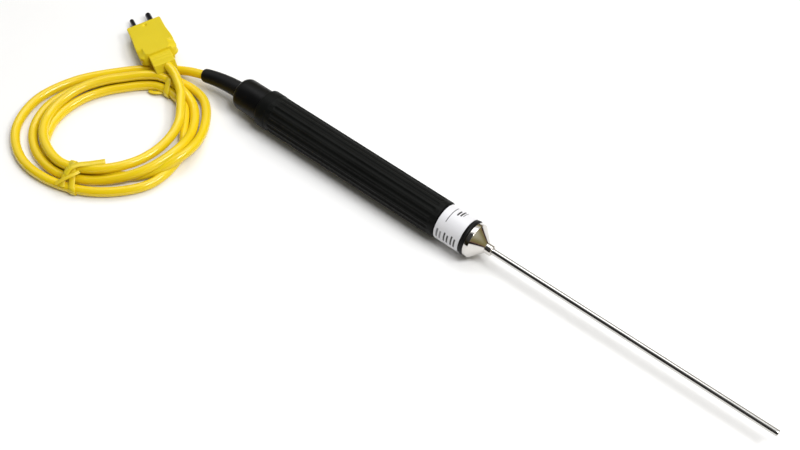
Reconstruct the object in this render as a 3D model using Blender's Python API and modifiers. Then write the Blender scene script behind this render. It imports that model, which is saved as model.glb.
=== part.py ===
# Handheld thermocouple probe with a straight metal sheath, a fluted handle,
# a coiled lead and a two-pin plug. Run with: blender --background --python part.py
#
# The probe lies along +X with its tip at +X, and its handle rests on the plane z = 0.
# A station is a distance along the probe from the front end of the grip, positive to the tip.
# All sizes are in metres.

import math

import bmesh
import bpy
from mathutils import Matrix, Vector

mm = 0.001

# Clearances
gap = 0.3 * mm                    # between two pieces that touch on the real probe
wire_gap = 0.35 * mm              # round a wire in its crimp

# Sheath and its filling
sheath_diameter = 3.2 * mm
sheath_wall = 0.35 * mm
sheath_reach = 179.5 * mm         # station of the tip
sheath_tail = 14.0 * mm           # how far it runs back inside the handle
sheath_tip_edge = 0.5 * mm        # rounding of its flat tip
sheath_tip_wall = 0.8 * mm

# Nose cone
nose_rim_diameter = 18.0 * mm
nose_rim_length = 2.4 * mm
nose_cone_length = 5.8 * mm
nose_cone_tip_diameter = 6.2 * mm
nose_boss_diameter = 5.4 * mm
nose_boss_length = 3.6 * mm
nose_boss_chamfer = 0.7 * mm
nose_edge = 0.25 * mm
nose_spigot_diameter = 12.0 * mm
nose_spigot_length = 13.5 * mm
nose_land_diameter = 14.6 * mm

# Sealing ring and the collar that holds the sheath
seal_thickness = 1.8 * mm
seal_diameter = 18.8 * mm
collar_diameter = 8.6 * mm
collar_length = 4.0 * mm
collar_depth = 6.0 * mm           # counterbore of the spigot

# Body tube and the band round its front
band_length = 14.3 * mm
band_thickness = 0.22 * mm
tube_head_length = 14.9 * mm
tube_head_diameter = 17.6 * mm
tube_diameter = 15.0 * mm
tube_wall = 2.0 * mm
tube_overhang = 5.5 * mm          # how far it runs out of the grip's rear end, into the cap

# Grip
grip_length = 117.3 * mm
grip_front_diameter = 19.6 * mm
grip_rear_diameter = 20.1 * mm
grip_chamfer = 0.8 * mm
grip_collar_diameter = 20.5 * mm
grip_collar_length = 6.5 * mm
grip_collar_edge = 0.5 * mm
flute_count = 18
flute_width = 2.6 * mm
flute_depth = 0.45 * mm
flute_front_land = 2.2 * mm
flute_rear_land = 1.6 * mm

# Rear cap, strain relief and the stop on the cable
cap_length = 18.4 * mm
cap_diameter = 17.6 * mm
cap_shoulder = 3.7 * mm           # radius of its rear shoulder
cap_rear_wall = 3.5 * mm
relief_root_diameter = 9.2 * mm
relief_end_diameter = 7.7 * mm
relief_reach = 25.5 * mm          # how far it stands out of the cap
relief_side_bend = 2.6 * mm       # towards -Y at its end
relief_drop = 2.0 * mm            # below the handle's axis at its end
relief_nose = 2.6 * mm            # length of its rounded end
relief_nose_turn = math.radians(72)
relief_flange_diameter = 14.2 * mm
relief_flange_length = 4.0 * mm
stop_diameter = 13.4 * mm

# Cable and the wires inside the handle
cable_diameter = 5.0 * mm
core_diameter = 1.6 * mm
core_spacing = 2.3 * mm
cable_inner_end = 70.0 * mm       # station, behind the grip's front end
lead_diameter = 0.8 * mm
lead_spacing = 1.1 * mm
crimp_diameter = 3.2 * mm
crimp_length = 10.0 * mm
crimp_spacing = 5.0 * mm
crimp_station = 45.0 * mm         # rear end, behind the grip's front end
carrier_length = 8.0 * mm
wire_straight = 3.0 * mm          # run of a wire before it bends, beside a crimp, a pin or the jacket
wire_spread = 0.4 * mm            # how far a wire has moved sideways at its first bend

# Coil of cable on the table, seen from above an oval ring of four turns
coil_half_length = 42.1 * mm      # of the oval along the middle of the turns
coil_half_width = 36.3 * mm
coil_turned = math.radians(39.2)  # its long axis from +X
coil_from_exit = (-15.0 * mm, -55.7 * mm)
coil_lift = 0.8 * mm              # the bands of its ties pass beneath it
coil_steps = 48
coil_section = [                  # outline of the four strands: outward from the oval, and height
    (9.2 * mm, 2.4 * mm), (8.3 * mm, 4.0 * mm), (0.2 * mm, 8.2 * mm), (-1.6 * mm, 9.1 * mm),
    (-4.2 * mm, 9.1 * mm), (-7.4 * mm, 7.2 * mm), (-9.4 * mm, 4.8 * mm), (-10.2 * mm, 2.6 * mm),
    (-9.4 * mm, 0.8 * mm), (-7.8 * mm, 0.0 * mm), (7.0 * mm, 0.0 * mm), (8.4 * mm, 0.8 * mm),
]
coil_shoulder = [(6.4 * mm, 4.9 * mm), (2.0 * mm, 5.3 * mm), (0.7 * mm, 6.3 * mm)]
coil_shoulder_place = 2           # the shoulder's points come before this point of the outline

# Free lead from the strain relief to the coil, as places from the exit in x and y and as heights
lead_in_places = [
    (-9.0 * mm, -1.9 * mm, 6.6 * mm),
    (-15.1 * mm, -3.3 * mm, 4.7 * mm),
    (-19.8 * mm, -5.0 * mm, 3.6 * mm),
    (-24.7 * mm, -8.5 * mm, 2.9 * mm),
]

# Flat ties round the coil, placed by angle from the coil's long axis
tie_width = 3.0 * mm
tie_thickness = 0.5 * mm
ties = {                          # tail_root is measured like the coil's section
    "tie_near": {"angle": math.radians(249.0), "tail": 18.0 * mm, "tail_turn": math.radians(20.0),
                 "tail_root": (-5.9 * mm, 9.3 * mm)},
    "tie_far": {"angle": math.radians(46.0), "tail": 4.5 * mm, "tail_turn": math.radians(210.0),
                "tail_root": (-10.8 * mm, 2.4 * mm)},
}

# Plug, in its own frame: +X out of its front face, +Z up, origin under the front face's middle
plug_from_exit = (-54.5 * mm, 7.1 * mm)
plug_yaw = math.radians(154.3)
plug_pitch = math.radians(9.3)    # its neck lies over the lead
plug_roll = math.radians(-5.2)
plug_front_width = 19.8 * mm
plug_ear_width = 21.3 * mm
plug_body_length = 31.5 * mm
plug_ear_length = 10.0 * mm
plug_corner = 1.2 * mm
plug_ear_corner = 3.2 * mm
plug_thickness = 8.3 * mm
plug_neck_width = 12.0 * mm
plug_neck_length = 10.9 * mm
plug_neck_step = 1.1 * mm         # the neck is thinner than the body by this on each face
plug_wall = 1.5 * mm
plug_front_wall = 3.0 * mm
plug_rib = 3.8 * mm               # wall between the two terminals
plug_pocket_length = 17.0 * mm
plug_gallery_length = 6.5 * mm    # where the wires spread
plug_grip_radius = 5.2 * mm
plug_grip_depth = 0.9 * mm
plug_grip_station = 26.0 * mm
plug_grip_flatness = 0.62         # height of the finger hollow over its length
plug_dimple_radius = 1.3 * mm
plug_dimple_depth = 0.4 * mm
plug_dimple_station = 3.4 * mm
plug_edge = 0.4 * mm
pin_spacing = 9.7 * mm
pin_reach = 12.5 * mm
pin_diameters = {"positive": 2.5 * mm, "negative": 3.2 * mm}
pin_flange = 0.9 * mm
pin_flange_length = 2.0 * mm
pin_tail = 11.0 * mm
screw_head_diameter = 3.4 * mm
screw_head_height = 1.4 * mm
screw_diameter = 1.8 * mm
screw_station = 10.0 * mm
screw_reach = 6.0 * mm
cable_in_plug = 17.0 * mm

# Fineness of the round pieces
steps_large = 54
steps_small = 20
steps_bore = 16
steps_wire = 12
steps_seal = 10
steps_per_flute = 4
arc_points = 4
relief_points = 7
bar_fineness = {"relief": 10, "bore": 6, "cable": 3, "wire": 2}
ball_fineness = {"flute": (20, 7), "recess": (24, 13), "dimple": (16, 9)}
bevel_segments = 2
bevel_angle = math.radians(60)    # sharper edges than this are bevelled
smooth_angle = math.radians(35)   # flatter edges than this are shaded smooth
route_spacing = 3.0 * mm          # between the points of a cable or a wire
sharp_step = 0.05 * mm            # length in which a bar changes its radius at a flange
weld = 0.01 * mm                  # points nearer than this are merged

# Worked out from the sizes above
axis_height = grip_collar_diameter / 2
cable_radius = cable_diameter / 2
tube_tail = grip_length + tube_overhang
cap_front = -(grip_length + gap)
cap_rear = cap_front - cap_length
relief_end_slope = 2 * relief_side_bend / relief_reach
relief_bore_radius = cable_radius + gap
relief_lip = relief_end_diameter / 2 - relief_bore_radius
relief_rim_radius = relief_bore_radius + relief_lip * math.cos(relief_nose_turn)
relief_end_overhang = relief_rim_radius * math.sin(math.atan(relief_end_slope))
rear_extent = -cap_rear + relief_reach + relief_end_overhang
origin_station = (sheath_reach - rear_extent) / 2
exit_x = cap_rear - relief_reach - origin_station
exit_y = -relief_side_bend
exit_z = axis_height - relief_drop
tube_bore_diameter = tube_diameter - 2 * tube_wall
plug_swell_start = plug_body_length / 3
plug_length = plug_body_length + plug_neck_length


def make_material(name, colour, roughness, metallic=0.0):
    material = bpy.data.materials.new(name)
    material.use_nodes = True
    shader = material.node_tree.nodes["Principled BSDF"]
    shader.inputs["Base Color"].default_value = (*colour, 1.0)
    shader.inputs["Roughness"].default_value = roughness
    shader.inputs["Metallic"].default_value = metallic
    material.diffuse_color = (*colour, 1.0)
    return material


def clear_scene():
    for item in list(bpy.data.objects):
        bpy.data.objects.remove(item, do_unlink=True)


def make_collection(name):
    collection = bpy.data.collections.new(name)
    bpy.context.scene.collection.children.link(collection)
    return collection


def add_object(name, data, collection, material=None):
    piece = bpy.data.objects.new(name, data)
    collection.objects.link(piece)
    if material is not None:
        data.materials.append(material)
    return piece


def as_cutter(piece):
    # A cutter shapes another piece and is not one itself.
    piece.hide_render = True
    piece.display_type = "WIRE"
    return piece


def shade_round(mesh, angle=smooth_angle):
    mesh.shade_smooth()
    mesh.set_sharp_from_angle(angle=angle)


def arc(station, radius, size, start, end, points=arc_points):
    # Points of an arc in a turned profile; angles from +station towards +radius, in degrees.
    spread = [math.radians(start + (end - start) * i / points) for i in range(points + 1)]
    return [(station + size * math.cos(a), radius + size * math.sin(a)) for a in spread]


def turned(name, profile, collection, material=None, steps=steps_large, ring=True, y=0.0, parent=None):
    # Turns a profile of (station, radius) about the probe's axis. The profile runs down the outer
    # side from front to rear, and on a ring back along the bore. Without a ring it ends on the axis.
    mesh = bpy.data.meshes.new(name)
    corners = [(radius, 0.0, station) for station, radius in profile]
    edges = [(i, i + 1) for i in range(len(corners) - 1)]
    if ring:
        edges.append((len(corners) - 1, 0))
    mesh.from_pydata(corners, edges, [])
    piece = add_object(name, mesh, collection, material)
    screw = piece.modifiers.new("turn", "SCREW")
    screw.axis = "Z"
    screw.angle = math.radians(360)
    screw.steps = steps
    screw.render_steps = steps
    screw.use_merge_vertices = True
    screw.merge_threshold = weld
    screw.use_smooth_shade = True
    piece.rotation_euler = (0.0, math.radians(90), 0.0)
    if parent is None:
        piece.location = (-origin_station, y, axis_height)
    else:
        piece.parent = parent
        piece.location = (0.0, y, plug_thickness / 2)
    return piece


def cut(piece, cutter, name="cut"):
    boolean = piece.modifiers.new(name, "BOOLEAN")
    boolean.operation = "DIFFERENCE"
    boolean.solver = "EXACT"
    boolean.object = cutter
    return boolean


def join(piece, addition, name="join"):
    boolean = piece.modifiers.new(name, "BOOLEAN")
    boolean.operation = "UNION"
    boolean.solver = "EXACT"
    boolean.object = addition
    return boolean


def tube(name, points, collection, material, radius, fineness, radii=None, parent=None):
    # A round bar along a line of points, with its own radius at each point where radii are given.
    curve = bpy.data.curves.new(name, "CURVE")
    curve.dimensions = "3D"
    curve.fill_mode = "FULL"
    curve.bevel_depth = radius
    curve.bevel_resolution = bar_fineness[fineness]
    curve.use_fill_caps = True
    curve.resolution_u = 1
    spline = curve.splines.new("POLY")
    spline.points.add(len(points) - 1)
    for index, place in enumerate(points):
        spline.points[index].co = (*place, 1.0)
        if radii is not None:
            spline.points[index].radius = radii[index] / radius
    piece = add_object(name, curve, collection, material)
    if parent is not None:
        piece.parent = parent
    return piece


def curve_to_mesh(piece):
    # Replaces a curve object by a mesh with its caps welded, so that it can be cut or can cut.
    bpy.context.view_layer.update()
    evaluated = piece.evaluated_get(bpy.context.evaluated_depsgraph_get())
    mesh = bpy.data.meshes.new_from_object(evaluated)
    shape = bmesh.new()
    shape.from_mesh(mesh)
    bmesh.ops.remove_doubles(shape, verts=shape.verts, dist=weld)
    shape.to_mesh(mesh)
    shape.free()
    shade_round(mesh)
    name = piece.name
    place = piece.matrix_world.copy()
    parent = piece.parent
    collections = list(piece.users_collection)
    bpy.data.objects.remove(piece, do_unlink=True)
    replacement = bpy.data.objects.new(name, mesh)
    for collection in collections:
        collection.objects.link(replacement)
    replacement.parent = parent
    if parent is not None:
        replacement.matrix_parent_inverse = parent.matrix_world.inverted()
    replacement.matrix_world = place
    return replacement


def smooth_route(places, spacing):
    # A smooth curve through hand-chosen places, read at about the given spacing.
    ends = [2 * places[0] - places[1]] + list(places) + [2 * places[-1] - places[-2]]
    points = []
    for i in range(1, len(ends) - 2):
        before, start, end, after = ends[i - 1:i + 3]
        count = max(1, round((end - start).length / spacing))
        for j in range(count):
            t = j / count
            points.append(0.5 * (2 * start + (end - before) * t
                                 + (2 * before - 5 * start + 4 * end - after) * t ** 2
                                 + (3 * start - before - 3 * end + after) * t ** 3))
    points.append(places[-1])
    return points


def at_station(station, y=0.0, z=0.0):
    return Vector((station - origin_station, y, axis_height + z))


def relief_path(distance):
    # Middle of the strain relief at a distance behind the cap: it bends to one side and droops.
    share = max(0.0, distance / relief_reach)
    return at_station(cap_rear - distance, -relief_side_bend * share ** 2, -relief_drop * share ** 2)


def exit_heading():
    # Direction in which the cable leaves the strain relief.
    return Vector((-relief_reach, -2 * relief_side_bend, -2 * relief_drop)).normalized()


def build_sheath(parts, materials):
    outer = sheath_diameter / 2
    inner = outer - sheath_wall
    edge = sheath_tip_edge
    end = sheath_reach - sheath_tip_wall
    profile = [(sheath_reach, 0.0)] + arc(sheath_reach - edge, outer - edge, edge, 0, 90)
    profile += [(-sheath_tail, outer), (-sheath_tail, inner), (end, inner), (end, 0.0)]
    turned("sheath", profile, parts, materials["steel"], steps=steps_small, ring=False)
    core = inner - gap
    core_profile = [(end - gap, 0.0), (end - gap, core), (-sheath_tail, core), (-sheath_tail, 0.0)]
    turned("mineral_core", core_profile, parts, materials["mineral"], steps=steps_wire, ring=False)
    bore = outer + gap
    seat = seal_front_station() - nose_spigot_length
    collar_front = seat + collar_depth - gap
    collar = [(collar_front, collar_diameter / 2), (collar_front - collar_length, collar_diameter / 2),
              (collar_front - collar_length, bore), (collar_front, bore)]
    turned("sheath_collar", collar, parts, materials["steel"], steps=steps_small)


def tube_front_station():
    # The body tube's shoulder meets the grip's front end.
    return gap + tube_head_length


def seal_front_station():
    # Rear face of the nose cone's rim, in front of the sealing ring.
    return tube_front_station() + seal_thickness + 2 * gap


def build_nose(parts, materials):
    rim_rear = seal_front_station()
    rim_front = rim_rear + nose_rim_length
    cone_front = rim_front + nose_cone_length
    boss_front = cone_front + nose_boss_length
    rim = nose_rim_diameter / 2
    boss = nose_boss_diameter / 2
    land_rear = tube_front_station() + gap
    spigot = nose_spigot_diameter / 2
    spigot_rear = rim_rear - nose_spigot_length
    bore = sheath_diameter / 2 + gap
    counterbore = collar_diameter / 2 + gap
    profile = arc(boss_front - nose_boss_chamfer, boss - nose_boss_chamfer, nose_boss_chamfer, 0, 90)
    profile += [(cone_front, boss), (cone_front, nose_cone_tip_diameter / 2 - nose_edge)]
    profile += [(cone_front - nose_edge, nose_cone_tip_diameter / 2)]
    profile += [(rim_front, rim - nose_edge), (rim_front - nose_edge, rim), (rim_rear + nose_edge, rim)]
    profile += [(rim_rear, rim - nose_edge), (rim_rear, nose_land_diameter / 2)]
    profile += [(land_rear, nose_land_diameter / 2), (land_rear, spigot), (spigot_rear, spigot)]
    profile += [(spigot_rear, counterbore), (spigot_rear + collar_depth, counterbore)]
    profile += [(spigot_rear + collar_depth, bore), (boss_front, bore)]
    turned("nose_cone", profile, parts, materials["nickel"])


def build_seal(parts, materials):
    radius = seal_thickness / 2
    middle = tube_front_station() + gap + radius
    angles = [math.tau * i / steps_seal for i in range(steps_seal)]
    ring = seal_diameter / 2 - radius
    profile = [(middle + radius * math.cos(a), ring + radius * math.sin(a)) for a in angles]
    turned("o_ring", profile, parts, materials["rubber"])


def build_body_tube(parts, materials):
    head = tube_head_diameter / 2
    body = tube_diameter / 2
    bore = tube_bore_diameter / 2
    socket = nose_spigot_diameter / 2 + gap
    front = tube_front_station()
    seat = seal_front_station() - nose_spigot_length - gap
    profile = [(front, head), (gap, head), (gap, body), (-tube_tail, body)]
    profile += [(-tube_tail, bore), (seat, bore), (seat, socket), (front, socket)]
    turned("body_tube", profile, parts, materials["plastic"])
    band_inner = head + gap
    band_front = front - (tube_head_length - band_length) / 2
    band_rear = band_front - band_length
    band = [(band_front, band_inner + band_thickness), (band_rear, band_inner + band_thickness),
            (band_rear, band_inner), (band_front, band_inner)]
    turned("label_band", band, parts, materials["band"])


def build_grip(parts, cutters, materials):
    front = grip_front_diameter / 2
    rear = grip_rear_diameter / 2
    collar = grip_collar_diameter / 2
    bore = tube_diameter / 2 + gap
    collar_front = -grip_length + grip_collar_length
    profile = [(0.0, front - grip_chamfer), (-grip_chamfer, front), (collar_front, rear)]
    profile += [(collar_front - grip_collar_edge, collar), (-grip_length + grip_collar_edge, collar)]
    profile += [(-grip_length, collar - grip_collar_edge), (-grip_length, bore), (0.0, bore)]
    grip = turned("grip_sleeve", profile, parts, materials["grip"], steps=flute_count * steps_per_flute)
    cut(grip, flute_cutter(cutters, front, rear, collar_front), "flutes")


def add_ball(shape, radius, fineness):
    segments, rings = ball_fineness[fineness]
    return bmesh.ops.create_uvsphere(shape, u_segments=segments, v_segments=rings, radius=radius)


def flute_cutter(cutters, front, rear, collar_front):
    # Long round-ended bars laid along the grip's taper; each one cuts a flute.
    half_width = flute_width / 2
    radius = (half_width ** 2 + flute_depth ** 2) / (2 * flute_depth)
    start = -flute_front_land - radius
    end = collar_front + flute_rear_land + radius
    taper = math.atan((rear - front) / (-grip_chamfer - collar_front))
    middle_radius = (front + rear) / 2 - flute_depth + radius
    shape = bmesh.new()
    for index in range(flute_count):
        made = add_ball(shape, radius, "flute")
        for vertex in made["verts"]:
            vertex.co.z += math.copysign((start - end) / 2, vertex.co.z)
        turn = Matrix.Rotation(math.tau * (index + 0.5) / flute_count, 4, "Z")
        lean = Matrix.Rotation(-taper, 4, "Y")
        shift = Matrix.Translation((middle_radius, 0.0, (start + end) / 2))
        bmesh.ops.transform(shape, matrix=turn @ shift @ lean, verts=made["verts"])
    mesh = bpy.data.meshes.new("flute_cutter")
    shape.to_mesh(mesh)
    shape.free()
    cutter = as_cutter(add_object("flute_cutter", mesh, cutters))
    cutter.rotation_euler = (0.0, math.radians(90), 0.0)
    cutter.location = (-origin_station, 0.0, axis_height)
    return cutter


def build_cap(parts, materials):
    radius = cap_diameter / 2
    cavity = tube_diameter / 2 + gap
    hole = relief_root_diameter / 2 + gap
    floor = cap_rear + cap_rear_wall
    edge = grip_collar_edge
    profile = [(cap_front, radius - edge), (cap_front - edge, radius)]
    profile += arc(cap_rear + cap_shoulder, radius - cap_shoulder, cap_shoulder, 90, 180)
    profile += [(cap_rear, hole), (floor, hole), (floor, cavity), (cap_front, cavity)]
    turned("rear_cap", profile, parts, materials["plastic"])


def build_relief(parts, cutters, materials):
    root = relief_root_diameter / 2
    end = relief_end_diameter / 2
    flange = relief_flange_diameter / 2
    flange_rear = cap_rear + cap_rear_wall + gap
    flange_front = flange_rear + relief_flange_length
    path = [at_station(flange_front), at_station(flange_rear + sharp_step), at_station(flange_rear)]
    radii = [flange, flange, root]
    straight = relief_reach - relief_nose
    for i in range(relief_points + 1):
        path.append(relief_path(straight * i / relief_points))
        radii.append(root + (end - root) * i / relief_points)
    for i in range(1, arc_points + 1):
        angle = relief_nose_turn * i / arc_points
        path.append(relief_path(straight + relief_nose * math.sin(angle) / math.sin(relief_nose_turn)))
        radii.append(relief_bore_radius + relief_lip * math.cos(angle))
    relief = tube("strain_relief", path, parts, materials["rubber"], end, "relief", radii=radii)
    relief = curve_to_mesh(relief)
    bore_path = [at_station(flange_front + relief_flange_length), at_station(flange_front - gap)]
    bore_path += [relief_path(relief_reach * i / relief_points) for i in range(relief_points + 2)]
    bore = tube("relief_bore", bore_path, cutters, None, relief_bore_radius, "bore")
    bore = as_cutter(curve_to_mesh(bore))
    cut(relief, bore, "bore")


def build_stop(parts, materials):
    # It fills the cap between the body tube and the strain relief's flange.
    front = -tube_tail - gap
    rear = cap_rear + cap_rear_wall + relief_flange_length + 2 * gap
    bore = cable_radius + gap
    profile = [(front, stop_diameter / 2), (rear, stop_diameter / 2), (rear, bore), (front, bore)]
    turned("cable_stop", profile, parts, materials["brass"], steps=steps_small)


def build_inner_cable(parts, materials):
    path = [at_station(-cable_inner_end), at_station(-tube_tail), at_station(cap_rear)]
    path += [relief_path(relief_reach * i / relief_points) for i in range(1, relief_points)]
    path += [relief_path(relief_reach) - exit_heading() * cable_radius, relief_path(relief_reach)]
    tube("inner_cable", path, parts, materials["cable"], cable_radius, "cable")


def build_wires(parts, cutters, materials):
    crimp_rear = -crimp_station
    crimp_front = crimp_rear + crimp_length
    crimp_radius = crimp_diameter / 2
    crimp_bore = core_diameter / 2 + wire_gap
    carrier_front = crimp_front - (crimp_length - carrier_length) / 2
    carrier_rear = carrier_front - carrier_length
    carrier_radius = tube_bore_diameter / 2 - gap
    carrier_profile = [(carrier_front, 0.0), (carrier_front, carrier_radius),
                       (carrier_rear, carrier_radius), (carrier_rear, 0.0)]
    carrier = turned("terminal_carrier", carrier_profile, parts, materials["ceramic"],
                     steps=steps_small, ring=False)
    for side, pole in ((1, "positive"), (-1, "negative")):
        y = side * crimp_spacing / 2
        hole_radius = crimp_radius + gap
        hole_profile = [(carrier_front + gap, 0.0), (carrier_front + gap, hole_radius),
                        (carrier_rear - gap, hole_radius), (carrier_rear - gap, 0.0)]
        hole = turned("carrier_hole_" + pole, hole_profile, cutters, None, steps=steps_wire, ring=False,
                      y=y)
        cut(carrier, as_cutter(hole), "hole_" + pole)
        crimp = [(crimp_front, crimp_radius), (crimp_rear, crimp_radius),
                 (crimp_rear, crimp_bore), (crimp_front, crimp_bore)]
        turned("crimp_" + pole, crimp, parts, materials["brass"], steps=steps_wire, y=y)
        lead_start = at_station(-sheath_tail - gap, side * lead_spacing / 2)
        lead_bend = at_station(-sheath_tail - wire_straight, side * (lead_spacing / 2 + wire_spread))
        lead_path = smooth_route([lead_start, lead_bend, at_station(crimp_front + wire_straight, y),
                                  at_station(crimp_front - wire_straight, y)], route_spacing)
        tube("lead_" + pole, lead_path, parts, materials["lead"], lead_diameter / 2, "wire")
        core_end = at_station(-cable_inner_end + gap, side * core_spacing / 2)
        core_bend = at_station(-cable_inner_end + wire_straight, side * (core_spacing / 2 + wire_spread))
        core_path = smooth_route([at_station(crimp_rear + wire_straight, y),
                                  at_station(crimp_rear - wire_straight, y),
                                  core_bend, core_end], route_spacing)
        name = "core_" + pole
        tube(name, core_path, parts, materials[name], core_diameter / 2, "wire")


def exit_place(place):
    return Vector((exit_x + place[0], exit_y + place[1], place[2]))


def build_free_cable(parts, materials):
    # It leaves the strain relief, comes down to the table and passes under the plug's neck.
    start = Vector((exit_x, exit_y, exit_z))
    lead_in = [start + exit_heading() * gap, start + exit_heading() * cable_radius]
    lead_in += [exit_place(place) for place in lead_in_places]
    tube("cable", smooth_route(lead_in, route_spacing), parts, materials["cable"], cable_radius, "cable")


def coil_frame(parts):
    frame = bpy.data.objects.new("coil_frame", None)
    parts.objects.link(frame)
    frame.location = (exit_x + coil_from_exit[0], exit_y + coil_from_exit[1], coil_lift)
    frame.rotation_euler = (0.0, 0.0, coil_turned)
    bpy.context.view_layer.update()
    return frame


def oval_place(angle, outward=0.0, height=0.0):
    # A place beside the oval at the middle of the turns; the section shrinks with the oval's reach.
    share = 1 + outward / coil_half_length
    long_place = coil_half_length * share * math.cos(angle)
    return Vector((long_place, coil_half_width * share * math.sin(angle), height))


def build_coil(parts, materials, frame):
    # The section carried round the oval. Its rings are loft sections, because the ring is not round.
    outline = coil_section[:coil_shoulder_place] + coil_shoulder + coil_section[coil_shoulder_place:]
    shape = bmesh.new()
    rings = []
    for i in range(coil_steps):
        angle = math.tau * i / coil_steps
        rings.append([shape.verts.new(oval_place(angle, *point)) for point in outline])
    for i in range(coil_steps):
        following = rings[(i + 1) % coil_steps]
        for j in range(len(outline)):
            k = (j + 1) % len(outline)
            shape.faces.new((rings[i][j], following[j], following[k], rings[i][k]))
    bmesh.ops.recalc_face_normals(shape, faces=shape.faces)
    mesh = bpy.data.meshes.new("cable_coil")
    shape.to_mesh(mesh)
    shape.free()
    shade_round(mesh)
    coil = add_object("cable_coil", mesh, parts, materials["cable"])
    coil.parent = frame


def grown_section(distance, squash):
    # The coil's section with each side moved outwards by a distance.
    points = [Vector((outward * squash, height)) for outward, height in coil_section]
    grown = []
    for i, point in enumerate(points):
        before = (point - points[i - 1]).normalized()
        after = (points[(i + 1) % len(points)] - point).normalized()
        normal = Vector((before.y + after.y, -before.x - after.x)).normalized()
        grown.append(point + normal * distance / normal.dot(Vector((before.y, -before.x))))
    return grown


def build_ties(parts, cutters, materials, frame):
    # Each tie is a flat band round the coil's section with a free end that lies inside the coil.
    for name, tie in ties.items():
        angle = tie["angle"]
        middle = oval_place(angle)
        outward = Vector((coil_half_width * math.cos(angle), coil_half_length * math.sin(angle), 0.0))
        outward.normalize()
        squash = middle.length / coil_half_length
        facing = Matrix((outward, Vector((0, 0, 1)), outward.cross(Vector((0, 0, 1))))).transposed()
        place = frame.matrix_world @ Matrix.Translation(middle) @ facing.to_4x4()
        band = curve_to_mesh(band_outline(name, squash, parts))
        band.data.materials.append(materials["tie"])
        band.matrix_world = place
        root = frame.matrix_world @ Matrix.Translation(oval_place(angle, *tie["tail_root"]))
        bpy.ops.mesh.primitive_cube_add(size=1.0)
        strip = bpy.context.active_object
        strip.name = name + "_tail"
        size = Matrix.Diagonal((tie["tail"], tie_width, tie_thickness, 1.0))
        strip.data.transform(Matrix.Translation((tie["tail"] / 2, 0.0, 0.0)) @ size)
        for collection in list(strip.users_collection):
            collection.objects.unlink(strip)
        cutters.objects.link(as_cutter(strip))
        strip.matrix_world = root @ Matrix.Rotation(tie["tail_turn"], 4, "Z")
        join(band, strip, "tail")


def band_outline(name, squash, collection):
    # A flat ring round the section, as a 2D curve with an inner and an outer outline.
    curve = bpy.data.curves.new(name, "CURVE")
    curve.dimensions = "2D"
    curve.fill_mode = "BOTH"
    curve.extrude = tie_width / 2
    curve.resolution_u = 1
    for grow in (gap, gap + tie_thickness):
        outline = grown_section(grow, squash)
        spline = curve.splines.new("POLY")
        spline.points.add(len(outline) - 1)
        for index, point in enumerate(outline):
            spline.points[index].co = (point.x, point.y, 0.0, 1.0)
        spline.use_cyclic_u = True
    return add_object(name, curve, collection)


def plug_frame(parts):
    frame = bpy.data.objects.new("plug_frame", None)
    parts.objects.link(frame)
    turn = Matrix.Rotation(plug_yaw, 4, "Z") @ Matrix.Rotation(plug_pitch, 4, "Y")
    turn = turn @ Matrix.Rotation(plug_roll, 4, "X")
    frame.rotation_euler = turn.to_euler()
    half_width = plug_front_width / 2
    lowest = min((turn @ Vector((0.0, side * half_width, 0.0))).z for side in (-1, 1))
    frame.location = (exit_x + plug_from_exit[0], exit_y + plug_from_exit[1], -lowest)
    bpy.context.view_layer.update()
    return frame


def plug_outline():
    # Half outline of the body on its +Y side, from the front face back to the neck.
    front = plug_front_width / 2
    ear = plug_ear_width / 2
    points = []
    for i in range(arc_points + 1):
        a = math.radians(90 * i / arc_points)
        points.append((-plug_corner + plug_corner * math.cos(a),
                       front - plug_corner + plug_corner * math.sin(a)))
    ear_front = -(plug_body_length - plug_ear_length)
    for i in range(1, arc_points + 1):
        t = i / arc_points
        swell = t * t * (3 - 2 * t)
        points.append((-plug_swell_start + (ear_front + plug_swell_start) * t,
                       front + (ear - front) * swell))
    for i in range(arc_points + 1):
        a = math.radians(90 + 90 * i / arc_points)
        points.append((-plug_body_length + plug_ear_corner + plug_ear_corner * math.cos(a),
                       ear - plug_ear_corner + plug_ear_corner * math.sin(a)))
    return points


def slab(name, outline, low, high, collection, parent):
    # A flat piece with the given outline in the plug's plane, from one height to another.
    curve = bpy.data.curves.new(name, "CURVE")
    curve.dimensions = "2D"
    curve.fill_mode = "BOTH"
    curve.extrude = (high - low) / 2
    curve.resolution_u = 1
    spline = curve.splines.new("POLY")
    spline.points.add(len(outline) - 1)
    for index, (x, y) in enumerate(outline):
        spline.points[index].co = (x, y, 0.0, 1.0)
    spline.use_cyclic_u = True
    piece = add_object(name, curve, collection)
    piece.parent = parent
    piece.location = (0.0, 0.0, (low + high) / 2)
    return curve_to_mesh(piece)


def box_outline(x_low, x_high, y_low, y_high):
    return [(x_low, y_low), (x_high, y_low), (x_high, y_high), (x_low, y_high)]


def add_bevel(piece, width):
    bevel = piece.modifiers.new("edges", "BEVEL")
    bevel.width = width
    bevel.segments = bevel_segments
    bevel.limit_method = "ANGLE"
    bevel.angle_limit = bevel_angle
    return bevel


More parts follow.
